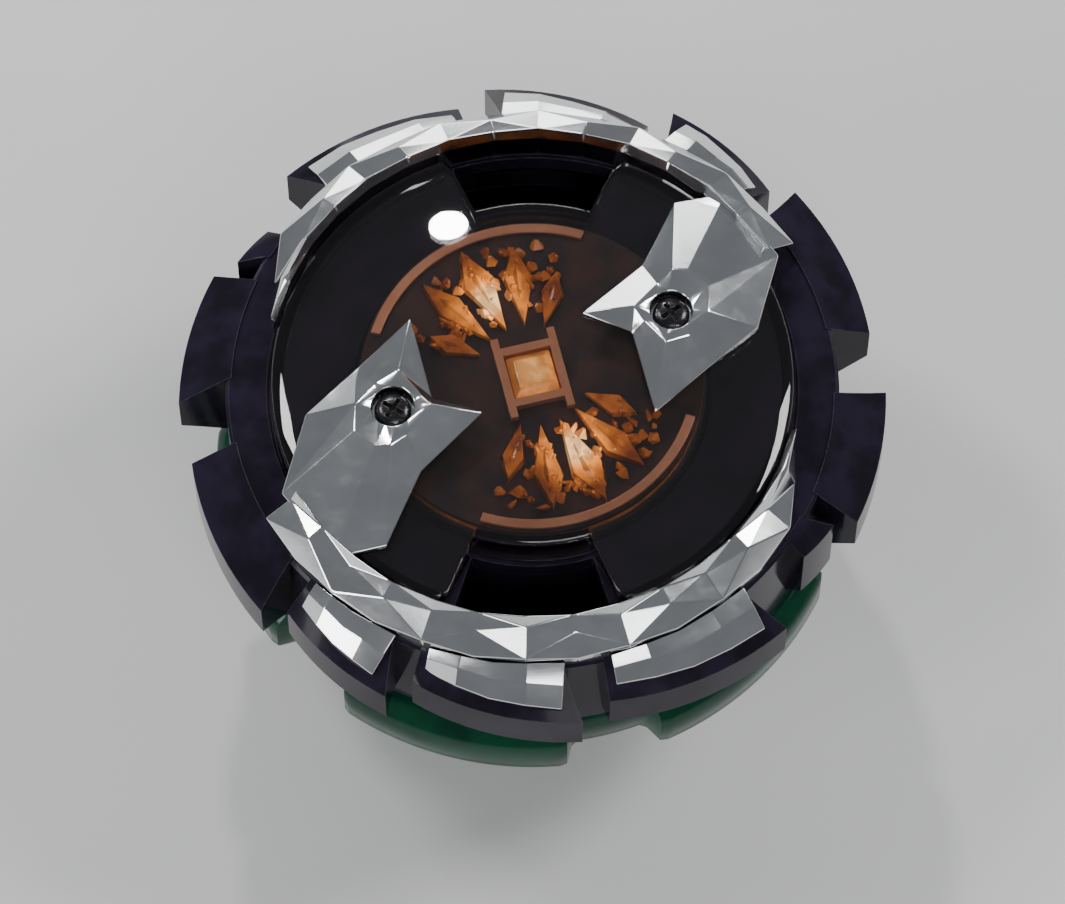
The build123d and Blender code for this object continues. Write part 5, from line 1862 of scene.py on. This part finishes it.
# -------------------------------- light module
@dataclass
class LightModule:
    """What shows through the dome: the black mask, the amber crystals, the gem and copper frames.

    Attributes:
        shards: In one half turn, each shard's angle, outer radius as a share of the copper arc's,
            and half width.
        shard_inner: Radius at which the shards start.
        shard_height: Their greatest height over the amber plate.
        shard_peak: Share of a shard's outer radius at which its height is measured.
        sink: How far the shards reach into the plate.
        lens_wall: Thickness of the dome over them.
        lens_gap: Their least gap from it.
        cluster: Angles between which the small chips lie, in one half turn.
        bed_inner: Radius at which the chips start.
        bed_margin: How far they stay inside the copper arcs' outer radius.
        bed_sink: How far the middles of the lowest chips lie below the mask's top.
        chips: Chips for each square millimetre.
        chip_smallest: Least side of a chip.
        chip_largest: Greatest length, width and height of a chip.
        chip_seed: Seed of their random places and sizes.
        lamp_orbit: Distance of the two outer lamps from the spin axis.
        lamp_angle: Angle of the first of them.
    """

    shards: tuple[Triple, ...] = (
        (78, 0.70, 0.75), (98, 0.86, 0.95), (118, 0.92, 1.1), (138, 0.88, 0.95), (158, 0.66, 0.75),
    )
    shard_inner: float = 3.7
    shard_height: float = 1.15
    shard_peak: float = 0.8
    sink: float = 0.1
    lens_wall: float = 1.0
    lens_gap: float = 0.12
    cluster: tuple[float, float] = (74, 162)
    bed_inner: float = 4.6
    bed_margin: float = 1.6
    bed_sink: float = 0.05
    chips: float = 1.1
    chip_smallest: float = 0.22
    chip_largest: Triple = (0.62, 0.55, 0.44)
    chip_seed: int = 7
    lamp_orbit: float = 6.4
    lamp_angle: float = 118

    def __post_init__(self) -> None:
        """Takes the module's main sizes from the frame."""
        self.mask_top = high_point("core_mask").z
        self.plate_top = low_point("core_mask").z
        self.radius = max(spokes("copper_arcs"))
        lamps = [polar(self.lamp_orbit, self.lamp_angle + add).xy for add in (0, 180)]
        places = tuple((round(p.x, 3), round(p.y, 3)) for p in lamps)
        # The amber and the gem get painted glow: emission that stands in for the light of the lamps under
        # them. All three, the lamps too, get painted facet highlights.
        self.amber = PaintedGlowFinish(
            "amber", base=(0.62, 0.20, 0.018), deep=(0.24, 0.05, 0.005), glow=(1.0, 0.34, 0.04),
            core=(1.0, 0.66, 0.26), strength=4.0, rest=0.10, lamps=places, spread=3.8,
        )
        self.gem = PaintedGlowFinish(
            "gem_amber", base=(0.75, 0.34, 0.06), deep=(0.55, 0.2, 0.03), glow=(1.0, 0.40, 0.07),
            core=(1.0, 0.58, 0.2), strength=1.6, rest=0.5, lamps=((0.0, 0.0),), spread=2.6,
        )
        self.lamp = PaintedGlowFinish(
            "lamp_amber", base=(0.9, 0.6, 0.25), deep=(0.8, 0.45, 0.15), glow=(1.0, 0.6, 0.2),
            core=(1.0, 0.8, 0.5), strength=6.0, rest=3.0, lamps=(*places, (0.0, 0.0)), spread=1.5,
        )

    def crystal(self) -> bpy.types.Object:
        """A long kite with a roof-shaped top, from x = 0 to 1, one half wide and one high.

        Returns:
            The crystal.
        """
        foot = [(0, 0, 0), (0.6, -1, 0), (1, 0, 0), (0.6, 1, 0)]
        eaves = [(0.04, 0, 0.35), (0.58, -0.9, 0.45), (0.97, 0, 0.3), (0.58, 0.9, 0.45)]
        roof = [(0.35, 0, 0.85), (0.68, 0, 1.0)]
        faces = [
            (3, 2, 1, 0), (0, 1, 5, 4), (1, 2, 6, 5), (2, 3, 7, 6), (3, 0, 4, 7),
            (4, 5, 8), (5, 9, 8), (5, 6, 9), (6, 7, 9), (7, 8, 9), (7, 4, 8),
        ]
        return make_piece("crystal", [Vector(point) for point in foot + eaves + roof], faces)

    def crystals(self) -> bpy.types.Object:
        """All the amber shards, each as high as the dome over it allows.

        Returns:
            Them as one piece.
        """
        low = self.plate_top - self.sink
        spots = []
        for angle, share, half_width in self.shards:
            for add in (0, 180):
                outer = share * self.radius
                ceiling = DOME.height(self.shard_peak * outer, -self.lens_wall) - self.lens_gap
                top = min(self.plate_top + self.shard_height, ceiling)
                start = polar(self.shard_inner, angle + add)
                spots.append(Spot(start.x, start.y, low, turn=angle + add, long=outer - self.shard_inner,
                                  wide=half_width, high=top - low))
        crystals = part_copies("amber_crystals", self.crystal(), spots, self.amber)
        return soften(crystals, 0.05, segments=1, angle=12)

    def chip_bed(self, add: float) -> list[Vector]:
        """The outline of the area that holds one cluster of chips, turned by an angle."""
        start, end = self.cluster
        return sector(self.bed_inner, self.radius - self.bed_margin, start + add, end + add)

    def scattered(self) -> bpy.types.Object:
        """The small amber chips between the shards.

        Returns:
            Them as one piece.
        """
        beds = [self.chip_bed(add) for add in (0, 180)]
        height = self.mask_top - self.bed_sink
        points = [Vector((p.x, p.y, height)) for bed in beds for p in bed]
        size = len(beds[0])
        bed = make_piece("amber_chips", points, [tuple(range(size)), tuple(range(size, 2 * size))])
        return CHIPS.run(
            bed, self.amber, Density=self.chips / MM**2, Smallest=[self.chip_smallest * MM] * 3,
            Largest=[side * MM for side in self.chip_largest], Seed=self.chip_seed,
        )

    def build(self) -> None:
        """Makes what shows through the dome."""
        seat_softened("amber_plate", "amber_core", 0.08, self.amber, Body.LAYER, "amber_clear")
        seat(self.crystals(), self.amber, Body.LAYER, "amber_clear", "amber_core")
        seat(self.scattered(), self.amber, Body.LAYER, "amber_clear", "amber_core")
        seat_softened("mask", "core_mask", 0.07, MASK_BLACK, Body.LAYER, "mask_black")
        seat_softened("gem", "center_gem", 0.12, self.gem, Body.LAYER, "amber_clear", segments=3)
        seat_softened("gem_frame", "gem_bezel", 0.1, COPPER, Body.LAYER, "copper_paint")
        seat_softened("copper_lines", "copper_arcs", 0.08, COPPER, Body.LAYER, "copper_paint")
        seat_softened("tray", "core_tray", 0.1, TRAY_PLASTIC, Body.LAYER, "tray_black")
        for node in ("led_upper", "led_lower", "led_center"):
            carry(node, self.lamp)


# -------------------------------- driver, disc and tip
@dataclass
class Disc:
    """The cast disc and the lobed green ring round it.

    Attributes:
        lobes: How many lobes the ring has.
        first_lobe: Angle of the middle of the first.
        lobe_half: Half the angle that a lobe spans.
        lobe_round: Degrees over which its flank runs out, to either side of that.
        lobe_reach: How far the lobes stand out.
        wall: Thickness of the ring between them.
        low_face: How far its lower face ends inside its outside.
        high_face: How far its upper face does.
        bevel: Inset and height of each corner of its bevels, over its lower face and under its upper.
        lip: Thickness of the lip that carries the disc.
        lip_width: How far the lip reaches in under it.
        steps: Facets round the ring.
    """

    lobes: int = 6
    first_lobe: float = 15
    lobe_half: float = 22
    lobe_round: float = 1.2
    lobe_reach: float = 1.8
    wall: float = 1.3
    low_face: float = 1.5
    high_face: float = 1.3
    bevel: tuple[tuple[float, float], ...] = ((1.0, 0.15), (0.15, 0.9), (0.0, 1.2))
    lip: float = 0.7
    lip_width: float = 1.0
    steps: int = 288

    def __post_init__(self) -> None:
        """Takes the ring's radius from the frame."""
        self.reach = max(spokes("disc_frame"))

    def edge(self, angle: float) -> float:
        """Radius of the ring's outside at an angle.

        Args:
            angle: The angle.

        Returns:
            The radius.
        """
        pitch = 360 / self.lobes
        away = abs((angle - self.first_lobe + pitch / 2) % pitch - pitch / 2)
        start, end = self.lobe_half - self.lobe_round, self.lobe_half + self.lobe_round
        return self.reach - self.lobe_reach * smooth(away, start, end)

    def out(self, inset: float, height: float) -> Section:
        """A corner of the ring's section that follows the lobes."""
        return lambda angle: (self.edge(angle) - inset, height)

    def build(self) -> None:
        """Makes the disc and its ring."""
        low, high = low_point("disc_frame").z, high_point("disc_frame").z
        bore = self.reach - self.lobe_reach - self.wall
        lower = [self.out(inset, low + rise) for inset, rise in self.bevel]
        upper = [self.out(inset, high - drop) for inset, drop in reversed(self.bevel)]
        rows = [
            steady(bore - self.lip_width, low), self.out(self.low_face, low), *lower, *upper,
            self.out(self.high_face, high), steady(bore, high), steady(bore, low + self.lip),
            steady(bore - self.lip_width, low + self.lip),
        ]
        ring = swept("lobed_ring", rows, full_turn(self.steps), closed=True)
        seat(shade(ring, 35), DEEP_GREEN, Body.DRIVER, "driver_green", "disc_frame")
        seat_softened("cast_disc", "weight_disc", 0.18, CAST_METAL, Body.DRIVER, "disc_metal")


class Driver:
    """The green lower body with its ribs, and the ring of teeth at its top."""

    def build(self) -> None:
        """Makes the cap, the housing and the ring of teeth."""
        seat_softened("driver_cone", "driver_cap", 0.12, DEEP_GREEN, Body.DRIVER, "driver_green")
        seat_softened("driver_neck", "driver_housing", 0.12, DEEP_GREEN, Body.DRIVER, "driver_green")
        seat_softened("click_ring", "plunger", 0.1, GREY_PLASTIC, Body.PLUNGER, "plunger_grey")


@dataclass
class Tip:
    """The turned tip.

    Attributes:
        foot: Radius and height of each corner of the foot, from the ground up.
        groove: Depth of the turned grooves.
        cone_grooves: Where the cone's grooves lie, as shares of the way from the foot to the flange.
        flange_height: Height of the flange's rim.
        rim_groove: Heights in that rim at which its groove starts, is at its depth, leaves it and ends.
        low_chamfer: Width of the chamfer under the flange.
        high_chamfer: Width of the chamfer over it.
        collar: Radius of the collar that carries the bearing.
        collar_height: Height of the collar.
    """

    foot: tuple[tuple[float, float], ...] = ((1.7, 0), (2.05, 0.1), (2.3, 0.32), (2.4, 0.6), (2.4, 1.5))
    groove: float = 0.12
    cone_grooves: tuple[float, ...] = (0.3, 0.5, 0.7)
    flange_height: float = 1.1
    rim_groove: tuple[float, float, float, float] = (0.45, 0.5, 0.62, 0.67)
    low_chamfer: float = 0.1
    high_chamfer: float = 0.12
    collar: float = 1.5
    collar_height: float = 0.5

    def cone(self, flange: float, flange_low: float) -> list[tuple[float, float]]:
        """The grooves in the cone between the foot and the flange.

        Args:
            flange: Radius of the flange.
            flange_low: Height of the flange's lower edge.

        Returns:
            The radius and height of each corner.
        """
        foot, foot_top = self.foot[-1]
        corners = []
        for share in self.cone_grooves:
            radius = foot + (flange - foot) * share
            height = foot_top + (flange_low - foot_top) * share
            bottom = radius - self.groove
            corners += [(bottom, height - self.groove), (bottom, height + self.groove)]
        return corners

    def build(self) -> None:
        """Makes the tip, with turned grooves on its cone and its flange."""
        top, flange = high_point("tip").z, high_point("tip").x
        high = top - self.collar_height
        low = high - self.flange_height
        deep = flange - self.groove
        start, deep_start, deep_end, end = (low + rise for rise in self.rim_groove)
        outline = [
            (0, 0), *self.foot, *self.cone(flange, low),
            (flange - self.low_chamfer, low), (flange, low + self.low_chamfer),
            (flange, start), (deep, deep_start), (deep, deep_end), (flange, end),
            (flange, high - self.high_chamfer), (flange - self.high_chamfer, high),
            (self.collar, high), (self.collar, top), (0, top),
        ]
        tip = lathe("turned_tip", outline, steps=96, closed=False)
        seat(shade(tip, 30), TIP_PLASTIC, Body.TIP, "tip_black", "tip")


def carry(node: str, finish: Finish | PaintedGlowFinish) -> None:
    """Gives a CAD node that keeps its shape a better finish.

    Args:
        node: The CAD node.
        finish: Its finish.
    """
    shown = frame["nodes"][node]
    for slot in shown.material_slots:
        slot.material = finish.material()
    LOG.info("%s keeps its shape: %s", node, finish.name)


@dataclass
class CarriedNodes:
    """The CAD nodes whose shapes stay as they are, and the layer's floor.

    Attributes:
        finishes: Each finish with the nodes that it dresses.
    """

    finishes: tuple[tuple[Finish, tuple[str, ...]], ...] = (
        (STEEL, ("tip_shaft", "shaft_clip", "bearing_inner_race", "bearing_outer_race", "bearing_balls",
                 "spring_seat", "cell_contact", "cell_clip")),
        (BRASS, ("bearing_cage", "switch_contact", "switch_weight")),
        (CELL_CAN, ("coin_cell",)),
        (BOARD, ("circuit_board",)),
        (RESIN, ("chip_blob",)),
        (CERAMIC, ("resistor", "capacitor")),
        (SWITCH_PLASTIC, ("switch_housing", "switch_cover")),
    )

    def build(self) -> None:
        """Dresses them."""
        for finish, nodes in self.finishes:
            for node in nodes:
                carry(node, finish)
        seat_softened("layer_floor", "layer_base", 0.12, GLOSS_BLACK, Body.LAYER, "body_black")


@dataclass(frozen=True)
class Spring:
    """A coil spring that a joint presses together.

    Attributes:
        node: Its CAD node.
        body: The body that its fixed end stands on.
        joint: The joint that presses it.
        axis: The axis along which it shortens, 1 for Y and 2 for Z.
        fixed_high: Whether its fixed end is the one with the higher coordinate.
    """

    node: str
    body: Body
    joint: str
    axis: int
    fixed_high: bool

    def build(self) -> None:
        """Makes the spring from a merged copy of its CAD node; how far it would shorten as its joint moves
        is worked out but not used.
        """
        low, high = low_point(self.node), high_point(self.node)
        joints = frame["record"]["behaviour"]["joints"]
        start, end = next(joint for joint in joints if joint["name"] == self.joint)["range_m"]
        keep = 1 - (end - start) / MM / (high[self.axis] - low[self.axis])
        spring = shade(merged_node(f"{self.node}_coil", self.node), 60)
        seat(spring, STEEL, self.body, "steel", self.node)
        way, foot = Vector((0, 0, 0)), Vector((0, 0, 0))
        way[self.axis] = 1
        foot[self.axis] = (high if self.fixed_high else low)[self.axis] * MM
        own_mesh(spring)


# -------------------------------- studio
class LampShape(Enum):
    """The outlines that a lamp can have."""

    SQUARE = "SQUARE"
    ROUND = "DISK"


@dataclass
class SoftBox:
    """A flat lamp that looks at the top.

    Attributes:
        azimuth: Where it stands about the spin axis, in degrees from +X.
        elevation: Its height above the horizon in degrees.
        distance: Its distance in metres.
        size: Its side or its diameter in metres.
        power: Its power in watts.
        shape: Whether it is square or round.
    """

    azimuth: float
    elevation: float
    distance: float
    size: float
    power: float
    shape: LampShape = LampShape.SQUARE

    def place(self, target: Vector) -> None:
        """Puts the lamp in the scene.

        Args:
            target: The point that it looks at.
        """
        lamp = bpy.data.lights.new("soft_box", "AREA")
        lamp.shape = self.shape.value
        lamp.size = self.size
        lamp.energy = self.power
        stand = bpy.data.objects.new("soft_box", lamp)
        flat = cos(radians(self.elevation))
        away = Vector((flat * cos(radians(self.azimuth)), flat * sin(radians(self.azimuth)),
                       sin(radians(self.elevation))))
        stand.location = target + away * self.distance
        stand.rotation_euler = away.to_track_quat("Z", "Y").to_euler()
        bpy.context.collection.objects.link(stand)


@dataclass
class Studio:
    """The pale floor, the soft light and the camera.

    Attributes:
        elevation: Height of the camera above the horizon in degrees.
        lens: Its focal length in millimetres.
        fill: Share of the picture's height that the box of the top takes.
        floor_half: Half the floor's side in metres.
        floor_drop: How far the floor lies below the tip in mm.
        sky: Colour of the room's even light.
        sky_strength: Strength of that light.
        lamps: The lamps.
    """

    elevation: float = 65
    lens: float = 200
    fill: float = 0.90
    floor_half: float = 1.5
    floor_drop: float = 0.02
    sky: Colour = (0.90, 0.94, 1.0)
    sky_strength: float = 0.20
    lamps: tuple[SoftBox, ...] = (
        SoftBox(101, 47.5, 0.6, 0.036, 0.8, LampShape.ROUND),
        SoftBox(-78, 50, 0.8, 0.30, 1.3),
        SoftBox(213, 20, 0.8, 0.34, 3.0),
        SoftBox(150, 52, 0.8, 0.16, 1.8),
        SoftBox(20, 44, 0.8, 0.24, 3.0),
        SoftBox(95, 9, 0.9, 0.45, 2.6),
    )

    def floor(self) -> None:
        """Makes the floor."""
        half = self.floor_half / MM
        signs = ((-1, -1), (1, -1), (1, 1), (-1, 1))
        corners = [Vector((x * half, y * half, -self.floor_drop)) for x, y in signs]
        floor = make_piece("floor", corners, [(0, 1, 2, 3)])
        floor.data.materials.append(PALE_PAPER.material())

    def world(self) -> None:
        """Makes the even light of the room."""
        world = bpy.data.worlds.new("room")
        world.use_nodes = True
        sky = world.node_tree.nodes["Background"]
        sky.inputs["Color"].default_value = (*self.sky, 1)
        sky.inputs["Strength"].default_value = self.sky_strength
        bpy.context.scene.world = world

    def camera(self) -> None:
        """Makes the camera, which looks down at the top from the front."""
        low, high = CAD_BOX
        middle = (low + high) / 2
        lens = bpy.data.cameras.new("camera")
        lens.lens = self.lens
        view = bpy.data.objects.new("camera", lens)
        tilt = radians(self.elevation)
        size = high - low
        tall = size.y * sin(tilt) + size.z * cos(tilt)
        picture = lens.sensor_width * IMAGE_SIZE[1] / IMAGE_SIZE[0]
        distance = tall / self.fill * self.lens / picture
        away = Vector((0, -cos(tilt), sin(tilt)))
        view.location = middle + away * distance
        view.rotation_euler = away.to_track_quat("Z", "Y").to_euler()
        lens.clip_start, lens.clip_end = 0.01, 20
        bpy.context.collection.objects.link(view)
        bpy.context.scene.camera = view

    def build(self) -> None:
        """Makes the studio."""
        target = (CAD_BOX[0] + CAD_BOX[1]) / 2
        for lamp in self.lamps:
            lamp.place(target)
        self.floor()
        self.world()
        self.camera()


def main() -> None:
    """Builds every sub-assembly in order."""
    logging.basicConfig(level=logging.INFO, format="%(message)s")
    Studio().build()
    for assembly in (
        CarriedNodes(), Tip(), Driver(), ScrewSet.of_driver(),
        Spring("plunger_spring", Body.DRIVER, "plunger_slide", axis=2, fixed_high=False),
        Disc(), ScrewSet.of_layer(), BladeRing(),
        Spring("switch_spring", Body.LAYER, "switch_slide", axis=1, fixed_high=True),
        LightModule(), Wings(), Lens(),
    ):
        LOG.info("building %s", type(assembly).__name__)
        assembly.build()


if __name__ == "__main__":
    main()
